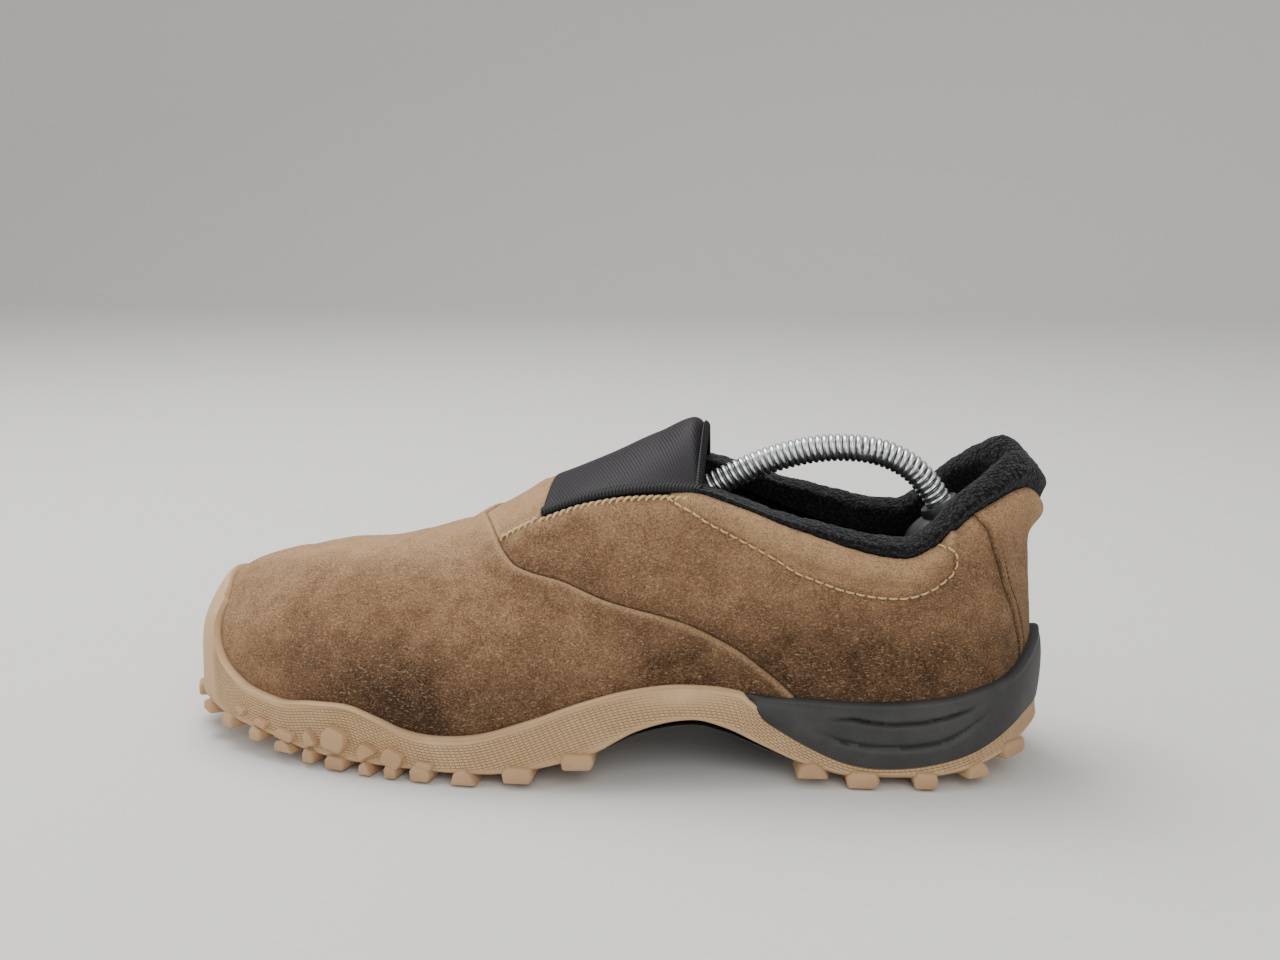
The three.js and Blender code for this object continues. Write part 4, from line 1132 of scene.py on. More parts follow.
@dataclass
class NodeTool:
    """A Geometry Nodes tree with named inputs, run on a mesh to give a plain mesh."""

    name: str
    inputs: dict[str, str]  # each input's name and socket type

    def __post_init__(self) -> None:
        """Makes the tree's two ends."""
        self.tree = bpy.data.node_groups.new(self.name, "GeometryNodeTree")
        self.tree.is_modifier = True
        self.ids = {}
        self.tree.interface.new_socket(name="Geometry", in_out="INPUT", socket_type="NodeSocketGeometry")
        for key, kind in self.inputs.items():
            socket = self.tree.interface.new_socket(name=key, in_out="INPUT", socket_type=kind)
            self.ids[key] = socket.identifier
        self.tree.interface.new_socket(name="Geometry", in_out="OUTPUT", socket_type="NodeSocketGeometry")
        self.source = add_node(self.tree, "NodeGroupInput").outputs
        self.result = add_node(self.tree, "NodeGroupOutput").inputs[0]

    def finish(self, geometry: Socket) -> None:
        """Ends the tree: plain, smooth geometry with its material."""
        real = add_node(self.tree, "GeometryNodeRealizeInstances", {0: geometry})
        even = add_node(self.tree, "GeometryNodeSetShadeSmooth", {0: real.outputs[0]})
        dressed = add_node(self.tree, "GeometryNodeSetMaterial", {
            0: even.outputs[0], "Material": self.source["Material"],
        })
        self.tree.links.new(dressed.outputs[0], self.result)

    def run(self, name: str, route: Mesh, values: dict[str, object]) -> Piece:
        """Runs the tree.

        Args:
            name: The new piece's name.
            route: The mesh that the tree starts from.
            values: A value for each named input.

        Returns:
            The piece as a plain mesh object.
        """
        carrier = in_scene(f"{name}_route", route)
        modifier = carrier.modifiers.new("make", "NODES")
        modifier.node_group = self.tree
        for key, value in values.items():
            modifier[self.ids[key]] = value
        mesh = baked(carrier, modifier)
        bpy.data.objects.remove(carrier)
        mesh.name = name
        log.info("%s: %d faces", name, len(mesh.polygons))
        return in_scene(name, mesh)


def route_mesh(name: str, lines: Sequence[Array], leans: Optional[Sequence[Array]] = None) -> Mesh:
    """A mesh of open lines in the part's frame.

    Args:
        name: Its name.
        lines: The points of each line in mm.
        leans: For each line, the way that its surface faces at each point.

    Returns:
        The mesh.
    """
    edges, base = [], 0
    for line in lines:
        edges += [(base + i, base + i + 1) for i in range(len(line) - 1)]
        base += len(line)
    mesh = bpy.data.meshes.new(name)
    mesh.from_pydata(to_frame(np.vstack(lines)).tolist(), edges, [])
    if leans is not None:
        carry(mesh, "lean", "FLOAT_VECTOR", np.vstack(leans))
    return mesh


def stitch_tool() -> NodeTool:
    """Stitches along lines: each an arched thread, turned by an angle from the line's run.

    Returns:
        The tool.
    """
    tool = NodeTool("stitch_run", {
        "Pitch": "NodeSocketFloat", "Length": "NodeSocketFloat", "Thread": "NodeSocketFloat",
        "Arch": "NodeSocketFloat", "Turn": "NodeSocketFloat", "Material": "NodeSocketMaterial",
    })
    tree, source = tool.tree, tool.source
    run = add_node(tree, "GeometryNodeMeshToCurve", {0: source["Geometry"]})
    spots = add_node(tree, "GeometryNodeResampleCurve", {"Curve": run.outputs[0], "Length": source["Pitch"]},
                     mode="LENGTH")
    half = reckon(tree, "MULTIPLY", source["Length"], 0.5)
    minus = reckon(tree, "MULTIPLY", source["Length"], -0.5)
    dip = reckon(tree, "MULTIPLY", source["Thread"], -1.0)
    start = add_node(tree, "ShaderNodeCombineXYZ", {0: minus, 2: dip})
    end = add_node(tree, "ShaderNodeCombineXYZ", {0: half, 2: dip})
    top = add_node(tree, "ShaderNodeCombineXYZ", {2: source["Arch"]})
    arc = add_node(tree, "GeometryNodeCurveQuadraticBezier", {
        "Resolution": 6, "Start": start.outputs[0], "Middle": top.outputs[0], "End": end.outputs[0],
    })
    round_thread = add_node(tree, "GeometryNodeCurvePrimitiveCircle", {"Resolution": 6, "Radius": source["Thread"]})
    stitch = add_node(tree, "GeometryNodeCurveToMesh", {
        0: arc.outputs[0], 1: round_thread.outputs[0], "Fill Caps": True,
    })
    tangent = add_node(tree, "GeometryNodeInputTangent")
    lean = add_node(tree, "GeometryNodeInputNamedAttribute", {"Name": "lean"}, data_type="FLOAT_VECTOR")
    up = add_node(tree, "FunctionNodeAlignRotationToVector", {"Vector": lean.outputs[0]}, axis="Z")
    along = add_node(tree, "FunctionNodeAlignRotationToVector", {
        "Rotation": up.outputs[0], "Vector": tangent.outputs[0],
    }, axis="X", pivot_axis="Z")
    swing = add_node(tree, "FunctionNodeAxisAngleToRotation", {"Axis": (0, 0, 1), "Angle": source["Turn"]})
    turned = add_node(tree, "FunctionNodeRotateRotation", {
        "Rotation": along.outputs[0], "Rotate By": swing.outputs[0],
    }, rotation_space="LOCAL")
    row = add_node(tree, "GeometryNodeInstanceOnPoints", {
        "Points": spots.outputs[0], "Instance": stitch.outputs[0], "Rotation": turned.outputs[0],
    })
    tool.finish(row.outputs[0])
    return tool


def coil_tool() -> NodeTool:
    """A wire wound round a line.

    Returns:
        The tool.
    """
    tool = NodeTool("close_coil", {
        "Coil Radius": "NodeSocketFloat", "Wire Radius": "NodeSocketFloat", "Turns": "NodeSocketFloat",
        "Points": "NodeSocketInt", "Material": "NodeSocketMaterial",
    })
    tree, source = tool.tree, tool.source
    run = add_node(tree, "GeometryNodeMeshToCurve", {0: source["Geometry"]})
    fine = add_node(tree, "GeometryNodeResampleCurve", {
        "Curve": run.outputs[0], "Count": source["Points"],
    }, mode="COUNT")
    level = add_node(tree, "GeometryNodeSetCurveNormal", {0: fine.outputs[0]}, mode="Z_UP")
    share = add_node(tree, "GeometryNodeSplineParameter").outputs["Factor"]
    angle = reckon(tree, "MULTIPLY", share, reckon(tree, "MULTIPLY", source["Turns"], 2 * math.pi))
    normal = add_node(tree, "GeometryNodeInputNormal").outputs[0]
    tangent = add_node(tree, "GeometryNodeInputTangent").outputs[0]
    across = add_node(tree, "ShaderNodeVectorMath", {0: tangent, 1: normal}, operation="CROSS_PRODUCT").outputs[0]
    parts = []
    for way, wave in ((normal, "COSINE"), (across, "SINE")):
        reach = reckon(tree, "MULTIPLY", reckon(tree, wave, angle), source["Coil Radius"])
        parts.append(add_node(tree, "ShaderNodeVectorMath", {0: way, "Scale": reach}, operation="SCALE").outputs[0])
    offset = add_node(tree, "ShaderNodeVectorMath", {0: parts[0], 1: parts[1]}, operation="ADD")
    wound = add_node(tree, "GeometryNodeSetPosition", {0: level.outputs[0], "Offset": offset.outputs[0]})
    section = add_node(tree, "GeometryNodeCurvePrimitiveCircle", {"Resolution": 8, "Radius": source["Wire Radius"]})
    wire = add_node(tree, "GeometryNodeCurveToMesh", {0: wound.outputs[0], 1: section.outputs[0], "Fill Caps": True})
    tool.finish(wire.outputs[0])
    return tool


def lug_tool() -> NodeTool:
    """Lugs on points: each point says which shape it takes, how it is turned and its size.

    Returns:
        The tool.
    """
    tool = NodeTool("lug_rows", {
        "Block": "NodeSocketObject", "Wedge": "NodeSocketObject", "Hexagon": "NodeSocketObject",
        "Material": "NodeSocketMaterial",
    })
    tree, source = tool.tree, tool.source
    kind = add_node(tree, "GeometryNodeInputNamedAttribute", {"Name": "kind"}, data_type="INT")
    turn = add_node(tree, "GeometryNodeInputNamedAttribute", {"Name": "turn"}, data_type="FLOAT_VECTOR")
    size = add_node(tree, "GeometryNodeInputNamedAttribute", {"Name": "size"}, data_type="FLOAT_VECTOR")
    spin = add_node(tree, "FunctionNodeEulerToRotation", {0: turn.outputs[0]})
    joined_rows = add_node(tree, "GeometryNodeJoinGeometry")
    for n, shape in enumerate(("Block", "Wedge", "Hexagon")):
        body = add_node(tree, "GeometryNodeObjectInfo", {"Object": source[shape], "As Instance": True})
        chosen = add_node(tree, "FunctionNodeCompare", {2: kind.outputs[0], 3: n}, data_type="INT", operation="EQUAL")
        row = add_node(tree, "GeometryNodeInstanceOnPoints", {
            "Points": source["Geometry"], "Selection": chosen.outputs[0], "Instance": body.outputs["Geometry"],
            "Rotation": spin.outputs[0], "Scale": size.outputs[0],
        })
        tree.links.new(row.outputs[0], joined_rows.inputs[0])
    tool.finish(joined_rows.outputs[0])
    return tool


# ---- The upper ----


def coons(
    bottom: Callable[[Array], Array], top: Callable[[Array], Array], front: Callable[[Array], Array],
    back: Callable[[Array], Array], across: Array, up: Array,
) -> Array:
    """Places of a patch between four lines, each a function of 0 .. 1 that gives (u, v) rows.

    Args:
        bottom: Its lower line, from the front to the back.
        top: Its upper line.
        front: Its front line, from the bottom to the top.
        back: Its back line.
        across: Shares of the way from the front to the back.
        up: Shares of the way from the bottom to the top.

    Returns:
        An array of up by across by 2.
    """
    a, b = across[None, :, None], up[:, None, None]
    ruled = mix(bottom(across)[None], top(across)[None], b) + mix(front(up)[:, None], back(up)[:, None], a)
    ends = np.array([0.0, 1.0])
    low, high = bottom(ends), top(ends)
    return ruled - mix(mix(low[0], low[1], a), mix(high[0], high[1], a), b)


def both_ways(half: Array) -> Array:
    """A panel that crosses the instep: its lateral half, and the mirror of it past the ridge."""
    return np.concatenate([half, half[::-1][1:] * (1, -1) + (0, 12)])


@dataclass(frozen=True)
class Seam:
    """A row of stitches on both sides of the shoe, in mm."""

    name: str
    line: Array  # rows of (u, v)
    out: float  # how far the thread stands out
    pitch: float
    length: float
    thread: float  # radius
    arch: float
    turn: float  # radians from the line's run
    material: Material


@dataclass
class Upper:
    """The suede panels of the upper and the thread that shows on them."""

    last: Last
    finishes: Finishes
    thickness: float = 1.8
    roll: float = 1.15  # radius of a panel's turned edge
    lap: float = 1.0  # how far the vamp's back edge stands over the quarters
    heel_lap: float = 0.3
    puff: float = 1.5  # padding between the topstitching and the top line
    top_line: float = 4.98
    tab_corner: float = 4.5
    gore_front: float = 0.541
    gore_back: float = 0.69
    vamp_seam: SmoothTable = field(default_factory=lambda: SmoothTable([
        (0, 0.79), (0.84, 0.758), (1.6, 0.717), (2.11, 0.666), (2.53, 0.612), (3.24, 0.552),
        (3.68, 0.52), (4.11, 0.504), (4.66, 0.49), (5.34, 0.476), (6, 0.466),
    ]))
    heel_seam: SmoothTable = field(default_factory=lambda: SmoothTable([
        (0, 0.977), (1.77, 0.973), (2.41, 0.967), (3.02, 0.959), (3.81, 0.95), (4.28, 0.942), (5, 0.926),
    ]))
    topstitch: Rows = (
        (.665, 4.84), (.674, 4.71), (.687, 4.56), (.701, 4.38), (.723, 4.25), (.745, 4.08), (.766, 3.93),
        (.782, 3.74), (.801, 3.67), (.821, 3.61), (.842, 3.63), (.861, 3.68), (.880, 3.73),
        (.897, 3.74), (.909, 3.84), (.914, 4.05), (.912, 4.35), (.907, 4.67), (.9, 4.9),
    )

    def __post_init__(self) -> None:
        """Finds the corners that the panels share."""
        self.corner = float(self.vamp_seam.one(self.tab_corner)[0])
        self.heel_top = float(self.heel_seam.one(self.top_line)[0])
        self.tab_edge = SmoothTable([
            (self.corner, self.tab_corner), (self.gore_front, self.top_line), (self.heel_top, self.top_line),
        ])
        self.stitch_line = dense(np.array(self.topstitch), 0.002)

    def vamp_line(self, v: Array) -> Array:
        """Places on the vamp's back seam at heights v."""
        return np.column_stack([self.vamp_seam.one(v), v])

    def heel_line(self, v: Array) -> Array:
        """Places on the heel seam at heights v."""
        return np.column_stack([self.heel_seam.one(v), v])

    def near(self, skin: Skin, side: Side, line: Array) -> Array:
        """How far the points of a panel are from a line of places on one side."""
        return distance(skin.points, dense(self.last.point(side.value * line[:, 0], line[:, 1])))

    def dress(self, name: str, skin: Skin, rise: Array, tone: Array, worn: float, node: str) -> None:
        """Makes a suede panel with its tone and its worn edges, which carry painted light and shade.

        Args:
            name: The piece's name.
            skin: Its grid.
            rise: How far each point stands out of the last in mm.
            tone: Its tone at each point, from 0 to 1, with painted light and shade.
            worn: How pale its edges are, from 0 to 1: wear, and a painted highlight along the folds.
            node: The CAD node that it stands for.
        """
        swell = 0.45 * grain(skin.points, 24, 1) + 0.16 * grain(skin.points, 7, 2) + 0.06 * grain(skin.points, 2.2, 3)
        # paler along the free edges: wear, and a painted highlight where a folded edge catches the light
        wear = worn * bell(skin.edge - 0.6, 1.1) * (skin.edge < 6)
        surface = skin.surface(rise + swell, self.roll, {"tone": np.clip(tone, 0, 1), "wear": wear})
        place(make_piece(name, surface, self.finishes.suede), SHOE, "suede", node)

    def shade(self, skin: Skin) -> Array:
        """The tone over the whole upper: painted light makes it paler on top, and it is paler at the toe, darker
        low down by the ball and the sole, and darker along the creases by the ball as painted shade.

        Args:
            skin: A panel's grid.

        Returns:
            The tone at each of its points.
        """
        x, _, z = skin.points.T
        s = abs(skin.u)
        # painted light: paler on top, where light falls from above
        tone = 0.5 + 0.34 * smooth(skin.v, 3.4, 5.6) * smooth(skin.v, 11, 6.6)
        tone += 0.14 * smooth(x, -95, -135)
        tone -= 0.4 * bell(s - 0.4, 0.15) * smooth(z, 56, 24)
        # painted shade along the creases by the ball
        tone -= 0.12 * bell(s - 0.43, 0.035) * smooth(z, 62, 40)
        tone -= 0.32 * smooth(s, 0.56, 0.7) * smooth(z, 62, 34)
        tone -= 0.12 * bell(s - 0.83, 0.09) * bell(skin.v - 2.3, 1.1)
        tone += 0.14 * bell(s - 0.77, 0.05) * bell(skin.v - 3.1, 0.9)
        return tone

    def vamp(self) -> None:
        """The vamp, from the toe to its lapped seam."""
        rows = np.linspace(0, 6, 86)
        half = graded(118, 170, False, True)
        shares = np.concatenate([-half[::-1][:-1], half])
        seam = self.vamp_seam.one(rows)
        places = paired(seam[:, None] * shares[None], rows[:, None])
        skin = Skin(self.last, places, self.thickness, (False, False, True, True))
        lip = self.lap * smooth(skin.edge, 9, 0.5)
        crease = -0.9 * bell(abs(skin.u) - 0.415, 0.012) * bell(skin.v - 2.2, 1.3)
        crease -= 0.7 * bell(abs(skin.u) - 0.45, 0.014) * bell(skin.v - 1.7, 1.0)
        crease += 0.7 * bell(abs(skin.u) - 0.433, 0.012) * bell(skin.v - 2.0, 1.3)
        trough = -0.5 * bell(skin.edge - 9.5, 3.5)
        self.dress("vamp_panel", skin, lip + crease + trough, self.shade(skin) + 0.03, 0.95, "vamp")

    def quarter(self, side: Side) -> None:
        """A quarter, padded above its topstitching.

        Args:
            side: The side it is on.
        """
        places = coons(
            lambda a: np.column_stack([mix(self.vamp_seam.one(0), self.heel_seam.one(0), a), 0 * a]),
            lambda a: self.top_places(self.heel_top, a),
            lambda b: self.vamp_line(self.tab_corner * b),
            lambda b: self.heel_line(self.top_line * b),
            graded(150, 150, True, True), graded(70, 60, False, True),
        )
        places[:, :, 0] *= side.value
        skin = Skin(self.last, places, self.thickness, (False, True, True, True))
        away = self.near(skin, side, self.stitch_line)
        s = abs(skin.u)
        line = SmoothTable([row for row in self.topstitch if row[0] <= 0.897] + [(0.912, 3.9)])
        inside = (s > 0.665) & (s < 0.911) & (skin.v > line.one(s))
        rise = np.where(inside, self.puff * smooth(away, 0, 7), -0.7 * bell(away - 7, 7))
        rise -= 0.55 * bell(away, 1.3)
        front = self.near(skin, side, self.vamp_line(np.linspace(0, self.tab_corner, 120)))
        rise -= 0.35 * bell(front - 1.5, 3)
        heel = self.near(skin, side, self.heel_line(np.linspace(0, 5, 120)))
        # painted shade: darker along the front seam under the vamp's lapped edge and in the heel seam's groove; paler
        # over the padding
        tone = self.shade(skin) - 0.16 * bell(front, 4) + 0.18 * inside - 0.3 * bell(heel, 1.6)
        where = side.name.lower()
        self.dress(f"quarter_panel_{where}", skin, rise, tone, 0.15, f"quarter_{where}")

    def top_places(self, end: float, share: Array) -> Array:
        """Places along the top edge, from the tab's corner to u = end."""
        u = mix(self.corner, end, share)
        return np.column_stack([u, self.tab_edge.one(u)])

    def heel(self) -> None:
        """The panel up the back of the heel."""
        across, up = graded(58, 50, True, True), graded(74, 65, False, True)
        edge = self.heel_seam.one(self.top_line * up)[:, None]
        places = paired(mix(edge, 2 - edge, across[None]), self.top_line * up[:, None])
        skin = Skin(self.last, places, self.thickness, (False, True, True, True))
        rise = self.heel_lap * smooth(skin.edge, 5, 0.5)
        # painted shade: darker along the edges, in the seam's groove
        tone = self.shade(skin) + 0.04 - 0.3 * bell(skin.edge, 1.2)
        self.dress("heel_panel_back", skin, rise, tone, 0.1, "heel_panel")

    def tab(self) -> None:
        """The small panel over the instep, in front of the gore."""
        places = both_ways(coons(
            lambda a: self.top_places(self.gore_front, a),
            lambda a: np.column_stack([mix(self.vamp_seam.one(6), self.gore_front, a), 6 + 0 * a]),
            lambda b: self.vamp_line(mix(self.tab_corner, 6, b)),
            lambda b: np.column_stack([self.gore_front + 0 * b, mix(self.top_line, 6, b)]),
            graded(22, 20, True, True), graded(40, 40, True, False),
        ))
        skin = Skin(self.last, places, self.thickness)
        rise = 0.5 * smooth(skin.edge, 0, 4) - 0.3 * bell(skin.edge - 2.6, 0.8)
        self.dress("instep_tab_panel", skin, rise, self.shade(skin) + 0.05, 0.6, "instep_tab")

    def seams(self) -> list[Seam]:
        """The pale seams and the brown one beside the heel.

        Returns:
            The seams, in the order that they are sewn.
        """
        pale, brown = self.finishes.thread, self.finishes.brown_thread
        gore_u = np.linspace(self.gore_front + 0.002, self.gore_back + 0.004, 60)
        gore = np.column_stack([gore_u, np.full(60, self.top_line - 0.1)])
        tab = dense(np.array([(0.5345, 4.93), (0.519, 4.78), (0.5005, 4.56)]), 0.002)
        heel = self.heel_line(np.linspace(0.9, 4.85, 90)) + (0.0065, 0)
        return [
            Seam("topstitch", self.stitch_line, 0.15, 3.4, 2.4, 0.36, 1.2, 0.0, pale),
            Seam("gore_edge", gore, 0.1, 2.4, 2.6, 0.5, 1.2, 0.55, pale),
            Seam("tab_edge", tab, 0.15, 2.4, 2.6, 0.5, 1.2, 0.55, pale),
            Seam("heel_seam", heel, 0.25, 1.9, 1.3, 0.19, 0.35, 0.0, brown),
        ]

    def stitching(self, tool: NodeTool) -> None:
        """Sews every seam on both sides.

        Args:
            tool: The stitches' tool.
        """
        for seam in self.seams():
            places = [(side.value * seam.line[:, 0], seam.line[:, 1]) for side in Side]
            route = route_mesh(
                seam.name, [self.last.off(u, v, seam.out) for u, v in places],
                [self.last.normal(u, v) for u, v in places],
            )
            place(tool.run(f"{seam.name}_thread", route, {
                "Pitch": seam.pitch * MM, "Length": seam.length * MM, "Thread": seam.thread * MM,
                "Arch": seam.arch * MM, "Turn": seam.turn, "Material": seam.material,
            }), SHOE, "suede")

    def build(self, tool: NodeTool) -> None:
        """Makes every panel and its thread, with the stitches' tool."""
        self.vamp()
        for side in Side:
            self.quarter(side)
        self.heel()
        self.tab()
        self.stitching(tool)


@dataclass
class Gore:
    """The elastic over the instep, its bindings and their whip stitches."""

    last: Last
    finishes: Finishes
    upper: Upper
    thickness: float = 2.0
    tip_pad: float = 3.0  # the fold at its back edge is this much thicker at the ridge
    binding: float = 1.25  # radius

    def elastic(self) -> None:
        """The elastic itself, thicker and rounded at the throat."""
        across, up = graded(70, 70, True, True), graded(44, 34, True, False)
        u = mix(self.upper.gore_front, self.upper.gore_back, across)
        v = mix(self.upper.top_line, 6, up)
        places = both_ways(paired(u[None], v[:, None]))
        skin = Skin(self.last, places, self.thickness)
        s = abs(skin.u)
        tip = smooth(s, self.upper.gore_back - 0.045, self.upper.gore_back - 0.01) * smooth(abs(skin.v - 6), 0.95, 0.2)
        rise = 0.35 + 1.6 * tip + 0.35 * grain(skin.points, 15, 5) * smooth(skin.edge, 0, 6)
        x = (skin.u - self.upper.gore_front) / (self.upper.gore_back - self.upper.gore_front)
        uv = np.column_stack([abs(x) * 60, skin.v * 16])
        surface = skin.surface(rise, 0.9 + self.tip_pad * tip, {}, uv, self.tip_pad * 0.22 * tip)
        place(make_piece("gore_elastic", surface, self.finishes.satin), SHOE, "elastic", "gore")

    def cord(self, name: str, route: Array, lean: Array, radius: float, node: str, tool: NodeTool) -> None:
        """A bound edge along a route, whipped over with thread.

        Args:
            name: The piece's name.
            route: The middle of the edge in mm.
            lean: Ways that it faces, evenly spaced along it.
            radius: Its radius in mm.
            node: The CAD node that it stands for.
            tool: The stitches' tool.
        """
        line = dense(route, 0.8)
        tangent = unit(np.gradient(line, axis=0))
        share, given = np.linspace(0, 1, len(line)), np.linspace(0, 1, len(lean))
        side = np.column_stack([np.interp(share, given, lean[:, k]) for k in range(3)])
        side = unit(side - tangent * np.sum(side * tangent, axis=1, keepdims=True))
        other = np.cross(tangent, side)
        angles = round_angles(20)
        loops = line[:, None, :] + radius * (
            side[:, None, :] * np.cos(angles)[None, :, None] + 1.25 * other[:, None, :] * np.sin(angles)[None, :, None]
        )
        uv = paired(np.linspace(0, len(line) * 0.8, len(line))[:, None], angles[None] * radius)
        place(make_piece(name, loft(loops, uv), self.finishes.binding), SHOE, "binding", node)
        whip = tool.run(f"{name}_whip", route_mesh(name, [line + side * radius * 0.62], [side]), {
            "Pitch": 1.15 * MM, "Length": 2.9 * radius * MM, "Thread": 0.36 * MM, "Arch": 1.1 * MM,
            "Turn": math.radians(78), "Material": self.finishes.binding,
        })
        place(whip, SHOE, "binding")

    def build(self, tool: NodeTool) -> None:
        """Makes the elastic and its three bound edges."""
        self.elastic()
        u = np.linspace(self.upper.gore_front + 0.003, self.upper.gore_back + 0.002, 60)
        for side in Side:
            places = (side.value * u, self.upper.top_line + 0.06 + 0 * u)
            lean = self.last.normal(*places)
            route = self.last.point(*places) + lean * 0.9
            name = f"gore_binding_{side.name.lower()}"
            self.cord(f"{name}_tape", route, lean, self.binding, name, tool)
        v = np.linspace(5.02, 6.98, 90)
        tuck = 1.0 * smooth(abs(v - 6), 0.95, 0.2)
        edge = self.last.off(self.upper.gore_back + 0 * v, v, -0.4 - tuck) + np.array([0.3, 0, 0])
        lean = np.column_stack([0.9 + 0 * v, 0 * v, 0.4 + 0 * v])
        self.cord("throat_binding_tape", edge, lean, 1.15, "throat_binding", tool)


@dataclass
class Inside:
    """The padded collar, the fleece linings and the footbed."""

    last: Last
    finishes: Finishes
    suede: float = 1.8
    lining: float = 1.6
    layer: float = 0.7
    stiffener: float = 1.2
    collar_depth: float = 8.2
    collar_start: float = 0.687
    pad_foot: float = 4.25
    cover_base: float = 6.2  # the underside of the footbed's cover, over the feather edge
    rise: SmoothTable = field(default_factory=lambda: SmoothTable([
        (0.7, 2.5), (0.75, 2.6), (0.8, 4.6), (0.85, 5.8), (0.9, 7), (0.95, 8.5), (0.975, 11), (1, 16),
    ]))
    top_line: float = 4.98

    def lining_depth(self, u: Array) -> Array:
        """How deep the lining lies under the last: deeper behind the toe puff and the heel counter.

        Args:
            u: Places round the shoe.

        Returns:
            The depth at each in mm.
        """
        s = abs((np.asarray(u, float) + 1) % 2 - 1)
        stiff = np.maximum(1 - smooth(s, 0.2, 0.25), smooth(s, 0.81, 0.86))
        return self.suede + self.layer + 0.2 + stiff * (self.stiffener + self.layer)

    def collar(self) -> None:
        """The padded collar: fleece over foam that rolls over the top line."""
        u = self.round_heel(np.linspace(self.collar_start, 0.92, 130)[:-1], np.linspace(0.92, 1, 70))
        s = np.minimum(u, 2 - u)
        rise = self.rise.one(s)
        lean = np.maximum(0, rise - 5) * 0.22
        edge = self.last.point(u, self.top_line + 0 * u)
        out = self.last.plan(u)[1]

        def over(inward: Array, up: Array) -> Array:
            """A point inward of the top line and over it."""
            return edge + np.column_stack([-out * np.broadcast_to(inward, u.shape)[:, None], up])

        inner = self.lining_depth(u) + self.lining
        knots = [self.last.off(u, v + 0 * u, -(self.suede + 0.4)) for v in (self.pad_foot, 4.65, self.top_line)]
        knots += [
            self.last.off(u, self.top_line + 0 * u, 0 * u - 0.5) + np.array([0, 0, 0.7]),
            over(-1.5 + 0 * u, 0.38 * rise + 1), over(0.9 + lean, 0.88 * rise), over(4.4 + lean, 1.02 * rise),
            over(self.collar_depth + lean * 0.6, 0.78 * rise),
            over(self.collar_depth + 2.2 + 0 * u, 0.2 * rise),
            self.last.off(u, 4.75 + 0 * u, 0 * u - self.collar_depth - 1.6),
            self.last.off(u, self.pad_foot + 0 * u, -inner),
        ]
        loops = closed_curve(np.stack(knots, axis=1), 8)
        surface = loft(loops)
        points = surface.points
        lump = 0.4 * grain(points, 5, 7) + 0.32 * grain(points, 2.2, 8) + 0.16 * grain(points, 1.1, 9)
        surface.points = points + point_normals(points, surface.faces) * lump[:, None]
        piece = make_piece("collar_roll", surface, self.finishes.fleece, 180)
        place(piece, SHOE, "fleece", "collar_pad")

    @staticmethod
    def round_heel(*parts: Array) -> Array:
        """Places from u = 1 - x round the heel to 1 + x, from the parts of the first half."""
        half = np.concatenate(parts)
        return np.concatenate([half, (2 - half[::-1])[1:]])

    def lining_piece(self, name: str, places: Array, node: str) -> None:
        """A fleece lining.

        Args:
            name: The piece's name.
            places: Its grid of places.
            node: The CAD node that it stands for.
        """
        skin = Skin(self.last, places, self.lining, (False, False, False, False), lambda u, v: self.lining_depth(u))
        surface = skin.surface(np.full(len(skin.points), -0.3), 0.5, {})
        place(make_piece(name, surface, self.finishes.fleece), SHOE, "fleece", node)

    def linings(self) -> None:
        """The vamp's lining and the quarters', up to the collar."""
        rows, u = np.linspace(0.05, 6, 60), np.linspace(-0.54, 0.54, 150)
        self.lining_piece("vamp_lining_fleece", paired(u[None], rows[:, None]), "vamp_lining")
        u = self.round_heel(np.linspace(0.541, 1, 110))
        top = mix(self.top_line - 0.1, self.pad_foot + 0.1, smooth(np.minimum(u, 2 - u), 0.69, 0.715))
        v = mix(0.05, top[None], np.linspace(0, 1, 46)[:, None])
        self.lining_piece("quarter_lining_fleece", paired(u[None], v), "quarter_lining")

    def footbed(self) -> None:
        """The footbed's cover, dished under the heel."""
        u = np.linspace(-1, 1, 361)[:-1]
        row = self.last.sections(abs(u))
        inset = np.maximum(row[:, 1], row[:, 3]) + self.lining_depth(u) + self.lining + self.layer + 0.4
        base = self.cover_base
        low = self.last.feather(u) + base
        rings = [self.last.middle(u, self.last.feather, base), self.last.ring(u, inset, low)]
        for share, lift in ((0, 1.6), (0.6, 1.9), (2, 1.7), (5, 1.3), (9, 1.2)):
            rings.append(self.last.ring(u, inset + share, low + lift))
        reach = self.last.plan(u)[2]
        for share in (0.35, 0.6, 0.8):
            blend = mix(self.last.feather(u), self.last.middle(u, self.last.feather)[:, 2], share)
            rings.append(self.last.ring(u, mix(inset + 9, reach, share), blend + base + 1.2))
        rings.append(self.last.middle(u, self.last.feather, base + 1.2))
        surface = ring_body(np.stack(rings, axis=1))
        place(make_piece("footbed_fleece", surface, self.finishes.fleece), SHOE, "fleece", "footbed_cover")

    def build(self) -> None:
        """Makes the collar, the linings and the footbed."""
        self.collar()
        self.linings()
        self.footbed()


# ---- The sole ----


class LugShape(Enum):
    """The shapes of lug, by the number that picks them."""

    BLOCK = 0
    WEDGE = 1
    HEXAGON = 2


